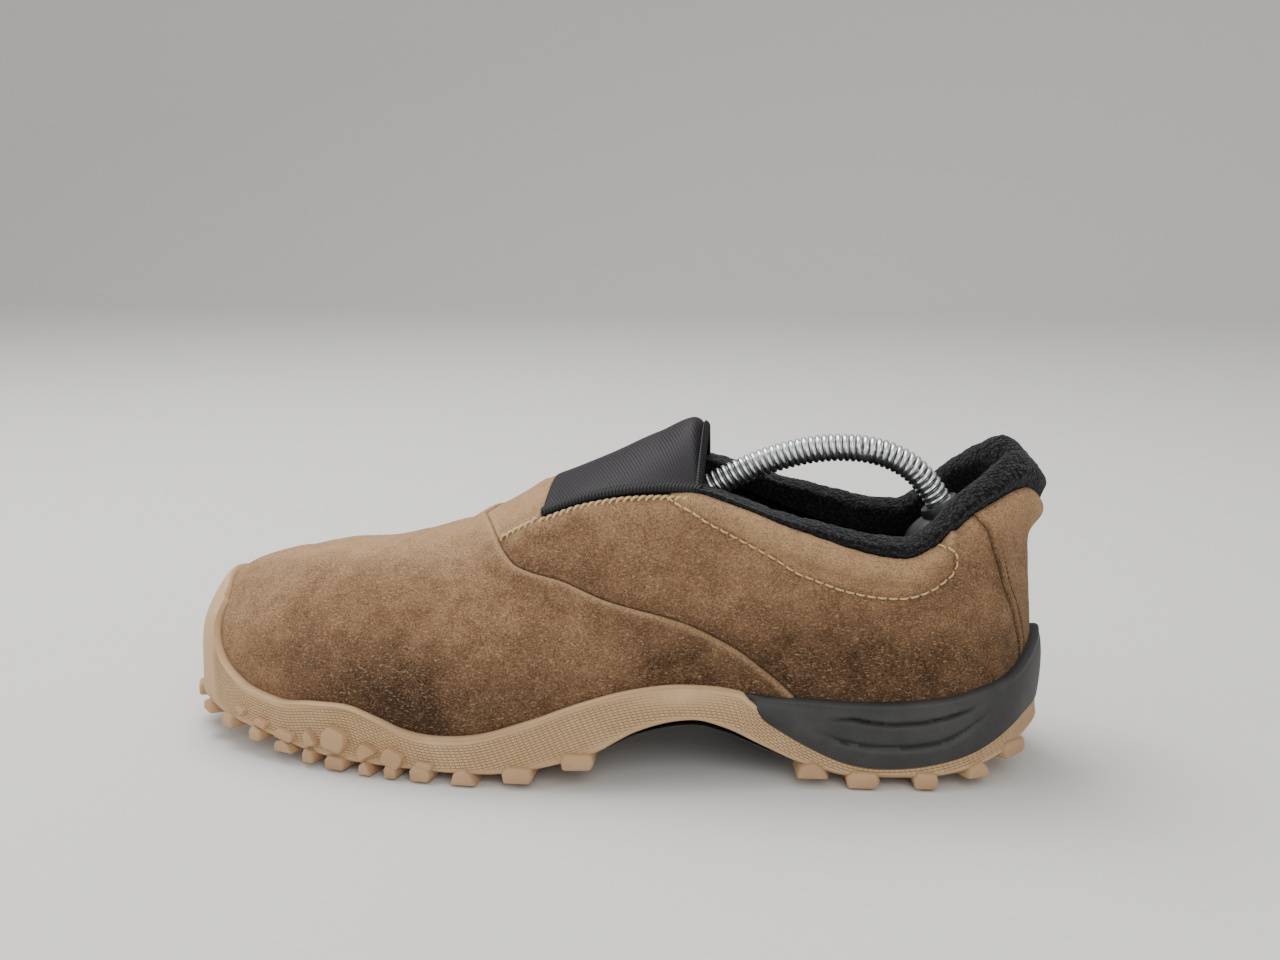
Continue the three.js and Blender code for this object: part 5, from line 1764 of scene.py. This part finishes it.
@dataclass
class LugRows:
    """Where each lug stands, how it is turned, its size and its shape."""

    spots: list[Array] = field(default_factory=list)
    turns: list[Sequence[float]] = field(default_factory=list)
    sizes: list[Sequence[float]] = field(default_factory=list)
    kinds: list[int] = field(default_factory=list)

    def add(self, spot: Array, turn: Sequence[float], size: Sequence[float], kind: LugShape) -> None:
        """Notes one lug.

        Args:
            spot: The middle of its foot in mm.
            turn: Its turn about X, Y and Z.
            size: Its size along X, Y and Z in mm.
            kind: Its shape.
        """
        self.spots.append(spot)
        self.turns.append(turn)
        self.sizes.append([value * MM for value in size])
        self.kinds.append(kind.value)

    def mesh(self) -> Mesh:
        """The lugs as points.

        Returns:
            A mesh that carries their turns, sizes and shapes.
        """
        mesh = bpy.data.meshes.new("lug_spots")
        mesh.from_pydata(to_frame(np.array(self.spots)).tolist(), [], [])
        carry(mesh, "turn", "FLOAT_VECTOR", self.turns)
        carry(mesh, "size", "FLOAT_VECTOR", self.sizes)
        carry(mesh, "kind", "INT", self.kinds)
        return mesh


@dataclass
class Sole:
    """The rubber cup with its lugs, the foam midsole and the plate under the waist."""

    last: Last
    finishes: Finishes
    wall: float = 2.6
    floor: float = 3.6
    layer: float = 0.7
    gap: float = 0.3
    lug_height: float = 3.3
    lug_out: float = 1.7
    lug_depth: float = 15.0
    middle_lugs: Sequence[float] = (0.3, 0.345, 0.39, 0.435, 0.48, 0.525, 0.81, 0.845, 0.885)
    foam_bulge: float = 0.9
    foam_blend: int = 8  # rows over which the face turns in to its rim
    foam_front: float = 0.738
    rubber_top: SmoothTable = field(default_factory=lambda: SmoothTable([
        (0, 3.1), (0.067, 2.82), (0.1, 2.44), (0.116, 2.14), (0.124, 1.58), (0.144, 0.84), (0.179, 0.3),
        (0.2, 0.14), (0.24, 0.16), (0.296, 0.56), (0.345, 0.76), (0.379, 0.56), (0.41, 0.24),
        (0.448, 0.11), (0.541, 0.3), (0.629, 0.43), (0.71, 0.39), (0.75, 0.24), (1, 0.24),
    ]))
    rubber_top_at_heel: SmoothTable = field(default_factory=lambda: SmoothTable([
        (0.738, 30), (0.764, 23.1), (0.793, 16.6), (0.83, 10.7), (0.856, 9.5), (0.882, 10),
        (0.908, 12.1), (0.934, 15.1), (0.974, 22.8), (1, 24.6),
    ]))
    foam_top: SmoothTable = field(default_factory=lambda: SmoothTable([
        (0.7, 0.2), (0.802, 0.22), (0.873, 0.31), (0.923, 0.48), (0.961, 0.75), (0.98, 1.0), (1, 1.35),
    ]))
    edge_lugs: Rows = (
        (0.035, 0.07), (0.1, 0.13), (0.155, 0.18), (0.203, 0.225), (0.237, 0.27), (0.28, 0.3),
        (0.31, 0.343), (0.355, 0.375), (0.387, 0.405), (0.415, 0.442), (0.458, 0.49), (0.51, 0.547),
        (0.568, 0.605), (0.783, 0.816), (0.825, 0.857), (0.88, 0.903), (0.923, 0.945), (0.952, 0.975),
    )
    wall_lugs: Rows = (  # |u|, height of its middle, length, height, how far it stands out, twist
        (0.19, 15.0, 5.0, 2.6, 1.2, 0.35), (0.222, 12.2, 6.4, 3.0, 1.6, 0.3), (0.256, 9.8, 9.4, 3.6, 2.0, 0.2),
        (0.291, 10.6, 5.4, 6.8, 2.0, -0.35), (0.326, 11.6, 10.6, 9.4, 2.2, 0.25), (0.366, 9.2, 8.6, 6.0, 2.0, -0.55),
        (0.398, 7.6, 8.8, 7.0, 2.0, 0.4), (0.433, 6.2, 7.0, 2.6, 1.6, 0.1),
    )
    groove_high: Rows = (  # |u|, z
        (0.815, 22.9), (0.831, 23.4), (0.845, 22.5), (0.863, 21.9), (0.887, 22.5), (0.907, 24.4), (0.925, 26.5),
        (0.934, 28.2),
    )
    groove_low: Rows = (
        (0.8, 19.0), (0.81, 18.1), (0.819, 16.1), (0.835, 14.8), (0.855, 13.9), (0.881, 14.2), (0.905, 16.0),
        (0.921, 19.3), (0.935, 23.0), (0.944, 26.8),
    )

    def columns(self, count: int) -> Array:
        """Places round the whole sole, closer together at the toe and the heel."""
        t = np.linspace(-1, 1, count + 1)[:-1]
        return t - 0.028 * np.sin(2 * np.pi * t)

    def floor_level(self, u: Array) -> Array:
        """The height of the rubber's floor."""
        return np.minimum(self.last.bottom(u) + self.floor, self.last.feather(u) - 3)

    def rubber(self) -> None:
        """The rubber cup: its underside, its woven wall, its lip and its floor."""
        u = self.columns(620)
        s = abs(u)
        last = self.last
        low, floor = last.bottom(u), self.floor_level(u)
        top_v = self.rubber_top.one(s)
        lip = self.layer + self.wall
        tall = smooth(top_v, 0.85, 1.15)
        heel_rim = last.ring(u, 0.6, np.maximum(self.rubber_top_at_heel.one(s), floor + 1.5))
        cup_rim = last.off(u, top_v, lip * mix(1, 0.6, np.clip((top_v - 1) / 2, 0, 1)))
        back = smooth(s, self.foam_front - 0.004, self.foam_front + 0.004)[:, None]
        rim = mix(cup_rim, heel_rim, back)
        rise = rim[:, 2] - low

        def outer(share: float) -> Array:
            """The wall's face.

            Args:
                share: The share of its height.

            Returns:
                A ring of points there.
            """
            hollow = 0.35 * math.sin(math.pi * share)
            plain = last.ring(u, mix(0.2, 0.9, share ** 2) + hollow, low + rise * share)
            out = mix(3.4, lip * 0.75, share)
            bumper = last.off(u, top_v * share, out)
            bumper[:, 2] = mix(low + rise * 0.35, rim[:, 2], share)
            return mix(plain, bumper, (tall * (1 - back[:, 0]))[:, None] * smooth(share, 0.05, 0.5))

        def inner(share: float) -> Array:
            """The wall's inner face, drawn into the upper so that no light shows between them.

            Args:
                share: The share of its height.

            Returns:
                A ring of points there.
            """
            cup = last.off(u, top_v * share, 0 * u - 0.3)
            beside_foam = last.ring(u, self.wall, mix(floor, rim[:, 2], share))
            return mix(cup, beside_foam, back)

        middle = last.middle(u, last.bottom)
        rings = [middle]
        for inset, fall in ((20, 0.5), (12, 0.15), (6, 0)):
            rings.append(last.ring(u, inset, mix(low, middle[:, 2], fall)))
        for inset, lift in ((2.2, 0.1), (0.9, 0.7), (0.25, 1.6)):
            rings.append(last.ring(u, inset, low + lift))
        shares = (0.22, 0.3, 0.38, 0.46, 0.54, 0.62, 0.7, 0.78, 0.85, 0.9, 0.94, 0.97)
        rings += [outer(share) for share in shares]
        for share, lift in ((0.06, 0.1), (0.3, 0.32), (0.62, 0.3), (0.92, 0)):
            rings.append(rim + (inner(1) - rim) * share + np.array([0, 0, lift]))
        rings += [inner(share) for share in (0.9, 0.6, 0.3, 0)]
        rings += [last.ring(u, self.wall + self.gap, floor), last.middle(u, self.floor_level)]
        grid = np.stack(rings, axis=1)
        drop = rim[:, 2][:, None] - grid[:, :, 2]
        uv = paired(last.girth(u)[:, None] + 0.5 * drop, drop)
        along = np.arange(grid.shape[1])
        band = (along >= 6) & (along <= 6 + len(shares))
        knurl = band[None] * smooth(drop, 1.2, 2.2) * smooth(grid[:, :, 2] - low[:, None], 1.5, 2.5)
        worn = bell(s - 0.68, 0.045)[:, None] * smooth(drop, 9, 3)
        knurl = knurl * (1 - worn) * (1 - smooth(top_v, 0.9, 1.5))[:, None]
        surface = ring_body(grid, uv, {"knurl": knurl})
        place(make_piece("rubber_cup", surface, self.finishes.wall, 70), SHOE, "sole_rubber", "outsole")

    @staticmethod
    def lug_body(name: str, outline: Rows, taper: float, bevel: float) -> Piece:
        """A lug of unit size with rounded edges: its face looks along -Y, or down for a flat one.

        Args:
            name: Its name.
            outline: Corners of its foot, as (x, z) rows.
            taper: How large its face is beside its foot.
            bevel: The width of its rounded edges.

        Returns:
            The lug as an object.
        """
        points = [(x * taper, 0.0, z * taper) for x, z in outline] + [(x, 1.0, z) for x, z in outline]
        count = len(outline)
        faces = [tuple(range(count)), tuple(range(2 * count - 1, count - 1, -1))]
        faces += [(i, i + count, (i + 1) % count + count, (i + 1) % count) for i in range(count)]
        mesh = bpy.data.meshes.new(name)
        mesh.from_pydata(points, [], faces)
        body = in_scene(name, mesh)
        rounded = body.modifiers.new("edges", "BEVEL")
        rounded.width, rounded.segments, rounded.limit_method = bevel, 4, "ANGLE"
        body.data = baked(body, rounded)
        return body

    def along_rim(self, start: float, end: float, side: Side, out: float, z: float) -> tuple[Array, Array]:
        """Two points beside the rim.

        Args:
            start: |u| of the first.
            end: |u| of the second.
            side: The side that they are on.
            out: How far outside the rim they lie in mm.
            z: Their height.

        Returns:
            The point midway, and the way from the first to the second along the shoe.
        """
        rim = self.last.ring(np.array([start, end]) * side.value, -out, z)
        return (rim[0] + rim[1]) / 2, (rim[1] - rim[0]) * side.value

    def rim_lugs(self, rows: LugRows, side: Side) -> None:
        """Notes the lugs along one edge of the sole.

        Args:
            rows: The lugs so far.
            side: The side that the edge is on.
        """
        for n, (start, end) in enumerate(self.edge_lugs):
            low = self.last.bottom(np.array([start, end, (start + end) / 2]))
            middle, run = self.along_rim(start, end, side, self.lug_out, low[:2])
            foot = max(0.0, float(low[2]) - self.lug_height)
            height = float(low[2]) + (3.4 if start > 0.4 else 2.6) - foot
            middle[2] = foot + height / 2
            size = (float(np.linalg.norm(run[:2])) * 1.02, self.lug_depth, height)
            kind = LugShape.WEDGE if n % 3 == 1 else LugShape.BLOCK
            rows.add(middle, (0.0, 0.0, math.atan2(run[1], run[0])), size, kind)

    def lugs(self, tool: NodeTool) -> None:
        """The rows of lugs round the rim, on the wall and under the middle.

        Args:
            tool: The lugs' tool.
        """
        rows = LugRows()
        for side in Side:
            self.rim_lugs(rows, side)
            for s, z, length, height, proud, twist in self.wall_lugs:
                _, run = self.along_rim(s - 0.01, s + 0.01, side, proud, z)
                spot = self.last.ring(np.array([s]) * side.value, -proud, z)[0]
                kind = LugShape.WEDGE if twist < 0 else LugShape.BLOCK
                rows.add(spot, (0.0, twist, math.atan2(run[1], run[0])), (length, proud + 3, height), kind)
        for s in self.middle_lugs:
            core = self.last.plan(np.array([s]))[0][0]
            low = float(self.last.bottom(np.array([s]))[0])
            foot = max(0.0, low - self.lug_height)
            for across in (-20, 0, 20) if s < 0.7 else (-10, 10):
                spot = np.array([core[0], across, foot])
                rows.add(spot, (math.pi / 2, 0.0, 0.0), (10.5, low + 1.5 - foot, 16.5), LugShape.HEXAGON)
        shapes = {
            "Block": self.lug_body("block", (
                (-0.44, -0.5), (0.4, -0.5), (0.5, -0.1), (0.43, 0.42), (-0.3, 0.5), (-0.5, 0.1),
            ), 0.82, 0.09),
            "Wedge": self.lug_body("wedge", (
                (-0.5, -0.5), (0.5, -0.5), (0.3, 0.15), (0.05, 0.5), (-0.38, 0.2),
            ), 0.8, 0.08),
            "Hexagon": self.lug_body("hexagon", (
                (-0.5, 0), (-0.2, -0.5), (0.2, -0.5), (0.5, 0), (0.2, 0.5), (-0.2, 0.5),
            ), 0.9, 0.05),
        }
        piece = tool.run("rubber_lugs", rows.mesh(), {**shapes, "Material": self.finishes.lug})
        for body in shapes.values():
            bpy.data.objects.remove(body)
        place(piece, SHOE, "sole_rubber")

    def groove_depth(self, flat: Array, s: Array) -> Array:
        """How deep the foam's two grooves and the pad between them lie.

        Args:
            flat: Points of the foam's face in mm.
            s: |u| at each.

        Returns:
            The depth at each in mm.
        """
        depth = np.zeros(len(flat))
        for side in Side:
            for groove, deepest, width in ((self.groove_high, 2.0, 0.75), (self.groove_low, 1.3, 1.0)):
                fine = dense(np.array(groove) * (100, 1), 0.2) / (100, 1)
                line = self.last.ring(fine[:, 0] * side.value, 0 * fine[:, 0], fine[:, 1])
                to_end = np.min([np.linalg.norm(flat - line[k], axis=1) for k in (0, -1)], axis=0)
                depth += deepest * bell(distance(flat, dense(line)), width) * mix(0.2, 1, smooth(to_end, 0, 9))
        z = flat[:, 2]
        between = (s > 0.81) & (s < 0.935)
        between = between & (z < SmoothTable(self.groove_high).one(s)) & (z > SmoothTable(self.groove_low).one(s))
        return depth + 0.7 * between * smooth(s, 0.81, 0.825) * smooth(s, 0.936, 0.92)

    def foam(self) -> None:
        """The foam midsole where it shows, with its two grooves and the pad between them."""
        u = Inside.round_heel(np.linspace(self.foam_front - 0.002, 0.93, 300)[:-1], np.linspace(0.93, 1, 130))
        s = np.minimum(u, 2 - u)
        last = self.last
        top_v = self.foam_top.one(s)
        front = smooth(s, self.foam_front + 0.022, self.foam_front)
        rim = last.off(u, top_v, self.layer + self.wall - 0.2 - 2.6 * front)
        low = np.maximum(self.rubber_top_at_heel.one(s), self.floor_level(s) + self.gap + 1.5) - 2.5
        shares = np.linspace(0, 1, 46)
        rows = [
            last.ring(u, 0.35 + 3.2 * front - self.foam_bulge * math.sin(math.pi * t), mix(low, rim[:, 2] - 1.1, t))
            for t in shares
        ]
        for n in range(1, self.foam_blend + 1):
            k = len(shares) - 1 - self.foam_blend + n
            t = float(smooth(n / self.foam_blend, 0, 1))
            target = rim + np.array([0, 0, -1.1]) * (1 - n / self.foam_blend)
            rows[k] = mix(rows[k], np.column_stack([target[:, :2], rows[k][:, 2]]), t)
        face = np.stack(rows, axis=1)
        flat = face.reshape(-1, 3)
        depth = self.groove_depth(flat, np.repeat(s, face.shape[1]))
        out = np.column_stack([np.repeat(last.plan(u)[1], face.shape[1], axis=0), np.zeros(len(flat))])
        flat = flat - out * depth[:, None] + out * (0.12 * grain(flat, 9, 21))[:, None]
        inner = last.off(u, top_v, 0 * u - 0.3)
        crown = [np.column_stack([mix(rim[:, :2], inner[:, :2], 0.03), rim[:, 2] - 0.85])]
        for share, lift in ((0.12, -0.55), (0.3, -0.12), (0.55, 0), (0.8, 0)):
            crown.append(rim + (inner - rim) * share + np.array([0, 0, lift]))
        back = [inner, last.ring(u, self.wall + 3, mix(low, inner[:, 2], 0.5)), last.ring(u, self.wall + 3, low)]
        surface = loft(np.concatenate([flat.reshape(face.shape), np.stack(crown + back, axis=1)], axis=1))
        place(make_piece("foam_midsole", surface, self.finishes.foam, 50), SHOE, "sole_foam", "midsole")

    def arch(self) -> None:
        """The stiff plate under the waist, with ribs along it."""
        start, end, inset = 0.612, 0.776, 1.4
        s = np.linspace(start, end, 60)
        t = (s - start) / (end - start)
        top = self.last.bottom(s) + 0.4
        low = top - 0.7 - 2.2 * mix(0.35, 1, np.sin(np.pi * t))
        reach = {sign: self.last.plan(s * sign)[2] for sign in (1, -1)}
        loops = []
        across = np.linspace(0, 1, 46)
        for sign, order in ((1, across), (-1, across[::-1])):
            for a in order:
                width = reach[sign] - inset - 0.6
                rib = 0.7 * (0.5 + 0.5 * math.cos(a * 9 * math.pi)) * float(smooth(a, 0.98, 0.9))
                dip = float(smooth(a, 0.94, 1.0)) * 1.2
                loops.append(self.last.ring(s * sign, reach[sign] - width * a, low - rib + dip))
        loops += [self.last.ring(-s, inset, top), self.last.ring(s, inset, top)]
        surface = loft(np.stack(loops, axis=1))
        plate = make_piece("arch_plate_ribbed", surface, self.finishes.arch, 50)
        place(plate, SHOE, "arch_plastic", "arch_plate")

    def build(self, tool: NodeTool) -> None:
        """Makes the cup, its lugs with their tool, the foam and the plate."""
        self.rubber()
        self.lugs(tool)
        self.foam()
        self.arch()


# ---- The shoe tree ----


@dataclass
class ShoeTree:
    """The toe form, its pin, the close-wound spring and the heel knob."""

    last: Last
    finishes: Finishes
    inside: Inside
    margin: float = 2.6
    end: float = 0.545
    coil: float = 4.7  # outer radius
    wire: float = 1.05  # radius
    eye: float = 5.2
    knob: tuple[float, float, float] = (118.3, 0.0, 69.5)
    knob_radii: tuple[float, float, float] = (17.8, 17.0, 15.0)
    form_foot: float = 8.5  # over the feather edge
    ear: tuple[float, float] = (4.05, 6.45)  # its two faces, from the middle
    ear_radius: float = 4.9
    ear_back: float = -26.0
    eye_width: float = 7.5
    eye_turns: int = 4
    route: Rows = (
        (10, 73.9), (22, 81.6), (34.7, 89.6), (44.6, 94.9), (52.6, 98.7), (60.4, 101.4), (69.3, 103.6),
        (80, 104.6), (88.7, 104), (96.7, 101.7), (103.5, 97.8), (108.6, 92.5), (112.7, 86.5), (114.8, 82.2),
    )

    def path(self) -> Array:
        """The spring's middle line.

        Returns:
            Points along it in mm.
        """
        pivot = np.array(PIVOT)
        points = np.array([(x, 0, z) for x, z in self.route], float)
        first = pivot + unit(points[0] - pivot) * (self.eye + 0.3 + self.wire)
        points = np.vstack([first, points])
        run = np.concatenate([[0], np.cumsum(np.linalg.norm(np.diff(points, axis=0), axis=1))])
        table = SmoothTable(np.column_stack([run, points]))
        return table(np.linspace(0, run[-1], 160))

    def spring(self, tool: NodeTool) -> None:
        """The spring: one wire wound round the path, its turns almost touching.

        Args:
            tool: The coil's tool.
        """
        path = self.path()
        length = float(np.sum(np.linalg.norm(np.diff(path, axis=0), axis=1)))
        turns = round(length / (self.wire * 2 + 0.07))
        piece = tool.run("spring_coil", route_mesh("spring_path", [path]), {
            "Coil Radius": (self.coil - self.wire) * MM, "Wire Radius": self.wire * MM, "Turns": float(turns),
            "Points": turns * 18 + 1, "Material": self.finishes.wire,
        })
        place(piece, ARM, "spring_steel", "tree_spring")

    def heel_knob(self) -> None:
        """The knob: an egg-shaped block with a parting line and a socket lip."""
        rings = []
        for t in np.linspace(0.02, 0.98, 60):
            phi = math.pi * (t - 0.5)
            angles = round_angles(72)
            r = math.cos(phi) * (1 - 0.018 * math.exp(-((phi / 0.04) ** 2)))
            rings.append(np.column_stack([
                self.knob[0] + self.knob_radii[0] * r * np.cos(angles),
                self.knob[1] + self.knob_radii[1] * math.sin(phi) + 0 * angles,
                self.knob[2] + self.knob_radii[2] * r * np.sin(angles),
            ]))
        ball = loft(np.stack(rings))
        path = self.path()
        tip, way = path[-1], unit(path[-1] - path[-12])
        side = np.array([0.0, 1.0, 0.0])
        up = np.cross(way, side)
        angles = round_angles(48)
        lip = []
        for along, radius in ((-5, 5.0), (-5.4, 5.6), (-5.2, 6.4), (-4, 7.0), (0, 7.6), (4, 8.0)):
            centre = tip + way * along
            lip.append(centre + radius * (side * np.cos(angles)[:, None] + up * np.sin(angles)[:, None]))
        collar = loft(np.stack(lip))
        piece = make_piece("heel_knob_block", joined(ball, collar), self.finishes.plastic, 40)
        place(piece, ARM, "tree_plastic", "tree_heel_knob")

    def toe_form(self) -> None:
        """The form that fills the toe, with the two ears that hold the pin."""
        half = np.linspace(0, self.end, 120)
        u = np.concatenate([-half[::-1][:-1], half])
        deep = self.inside.lining_depth(u) + self.inside.lining + self.margin
        edge = self.last.off(u, 1.5 + 0 * u, -deep - 1)
        edge[:, 2] = self.last.feather(u) + self.form_foot
        climb = [self.last.off(u, v + 0 * u, -deep) for v in np.linspace(1.9, 5.5, 26)]
        ridge = self.last.point(u, 6 + 0 * u) - np.column_stack([0 * u, 0 * u, deep + 1])
        middle = self.last.middle(u, self.last.feather, self.form_foot)
        rings = np.stack([middle, edge, *climb, ridge], axis=1)
        count, size, _ = rings.shape
        flat = rings.reshape(-1, 3)
        faces = cells(count, size) + [tuple(range(size - 1, -1, -1)), tuple(range((count - 1) * size, count * size))]
        kept, faces = weld(flat, faces)
        body = face_out(Surface(flat[kept], faces))
        piece = make_piece("toe_form_block", joined(body, *map(self.ear_plate, Side)), self.finishes.plastic, 40)
        place(piece, SHOE, "tree_plastic", "tree_toe_form")

    def ear_plate(self, side: Side) -> Surface:
        """One ear: a rounded plate beside the spring's eye.

        Args:
            side: The side that it is on.

        Returns:
            The closed mesh.
        """
        near, far = (side.value * face for face in self.ear)
        step = side.value * 0.3
        arc = np.linspace(-math.pi / 2, math.pi / 2, 24)
        corners = [(self.ear_back - PIVOT[0], -self.ear_radius)]
        corners += [(self.ear_radius * math.cos(a), self.ear_radius * math.sin(a)) for a in arc]
        corners += [(self.ear_back - PIVOT[0], self.ear_radius)]
        return loft(np.array([
            [(PIVOT[0] + x * shrink, y, PIVOT[2] + z * shrink) for x, z in corners]
            for y, shrink in ((near, 0.94), (near + step, 1.0), (far - step, 1.0), (far, 0.94))
        ]))

    def eye_ring(self) -> None:
        """The spring's last turns, wound round the pin as its eye."""
        angles = round_angles(64)
        grid = np.stack([np.column_stack([
            PIVOT[0] + radius * np.cos(angles), y + 0 * angles, PIVOT[2] + radius * np.sin(angles),
        ]) for y, radius in self.eye_profile()])
        count, size, _ = grid.shape
        surface = face_out(Surface(grid.reshape(-1, 3), cells(count, size, True, True)))
        piece = make_piece("spring_eye_turns", surface, self.finishes.wire, 40)
        place(piece, ARM, "spring_steel", "tree_spring_eye")

    def eye_profile(self) -> list[tuple[float, float]]:
        """The eye's section: turns of wire side by side, and a smooth bore.

        Returns:
            The places across and the radii, in mm.
        """
        profile = []
        for n in range(self.eye_turns):
            middle = -self.eye_width / 2 + self.eye_width * (n + 0.5) / self.eye_turns
            for a in np.linspace(-70, 70, 9):
                profile.append((middle + 0.93 * math.sin(math.radians(a)), 4.25 + 0.94 * math.cos(math.radians(a))))
        return profile + [(3.7, 1.95), (-3.7, 1.95)]

    def build(self, tool: NodeTool) -> None:
        """Makes the spring with the coil's tool, the knob, the form and the eye."""
        self.spring(tool)
        self.heel_knob()
        self.toe_form()
        self.eye_ring()


# ---- The room ----


@dataclass
class Studio:
    """A plain pale floor, soft light and the camera."""

    camera_at: tuple[float, float, float] = (0.07184, -0.49903, 0.1961)
    camera_turn: tuple[float, float, float] = (78.30, 0.0, 6.70)
    lens: float = 42.19
    floor_tint: str = "d2d1ce"

    def floor(self) -> None:
        """A floor that curves up into a backdrop."""
        bend = np.linspace(0.05, math.pi / 2, 24)
        depth = np.concatenate([[-3.0], np.linspace(-1.2, 1.6, 30), 1.6 + 0.9 * np.sin(bend), [2.5]])
        height = np.concatenate([np.zeros(31), 0.9 - 0.9 * np.cos(bend), [4.0]])
        points = [(x, y, z) for x in (-4.0, 4.0) for y, z in zip(depth, height)]
        count = len(depth)
        faces = [(i, i + count, i + count + 1, i + 1) for i in range(count - 1)]
        mesh = bpy.data.meshes.new("studio_floor")
        mesh.from_pydata(points, [], faces)
        mesh.shade_smooth()
        paper = MouldedSkin("studio_paper", 0.9, base=self.floor_tint, cloud=self.floor_tint, relief=0.01).material()
        mesh.materials.append(paper)
        in_scene("studio_floor", mesh)

    @staticmethod
    def lamp(
        name: str, at: tuple[float, float, float], aim: tuple[float, float, float], size: float, power: float
    ) -> None:
        """One square soft light.

        Args:
            name: Its name.
            at: Where it stands, in metres.
            aim: The point that it is aimed at.
            size: The length of its edge.
            power: Its power in watts.
        """
        light = bpy.data.lights.new(name, "AREA")
        light.size, light.energy = size, power
        lamp = in_scene(name, light)
        lamp.location = at
        lamp.rotation_euler = (Vector(aim) - Vector(at)).to_track_quat("-Z", "Y").to_euler()

    def camera(self) -> None:
        """The camera."""
        data = bpy.data.cameras.new("camera")
        data.lens, data.sensor_width = self.lens, 36.0
        data.clip_start, data.clip_end = 0.01, 30.0
        camera = in_scene("camera", data)
        camera.location = self.camera_at
        camera.rotation_euler = [math.radians(a) for a in self.camera_turn]
        bpy.context.scene.camera = camera

    def build(self) -> None:
        """Makes the room."""
        self.camera()
        self.floor()
        world = bpy.data.worlds.new("studio")
        world.use_nodes = True
        sky = world.node_tree.nodes["Background"]
        sky.inputs["Color"].default_value = colour("f3f3f2")
        sky.inputs["Strength"].default_value = 0.8
        bpy.context.scene.world = world
        self.lamp("key", (-0.35, 0.35, 1.15), (0.0, 0.0, 0.05), 0.9, 19)
        self.lamp("front", (0.5, -1.2, 0.9), (0.0, 0.0, 0.04), 1.0, 9)
        self.lamp("left", (-1.2, -0.5, 0.6), (0.0, 0.0, 0.05), 0.8, 5)


def dress_hidden(finishes: Finishes) -> None:
    """Gives the CAD nodes that stay their finishes.

    Args:
        finishes: The finishes.
    """
    for node, material in {
        "shank": finishes.wire, "insole_board": finishes.board, "footbed_foam": finishes.footbed,
        "toe_puff": finishes.stiffener, "heel_counter": finishes.stiffener, "tree_pin": finishes.wire,
    }.items():
        for slot in frame["nodes"][node].material_slots:
            slot.material = material


def main() -> None:
    """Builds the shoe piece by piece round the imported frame."""
    logging.basicConfig(level=logging.INFO, format="%(message)s")
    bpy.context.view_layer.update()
    Studio().build()
    last, finishes = Last(), Finishes.made()
    stitches, coil, lugs = stitch_tool(), coil_tool(), lug_tool()
    upper = Upper(last, finishes)
    upper.build(stitches)
    Gore(last, finishes, upper).build(stitches)
    inside = Inside(last, finishes)
    inside.build()
    Sole(last, finishes).build(lugs)
    ShoeTree(last, finishes, inside).build(coil)
    dress_hidden(finishes)


if __name__ == "__main__":
    main()
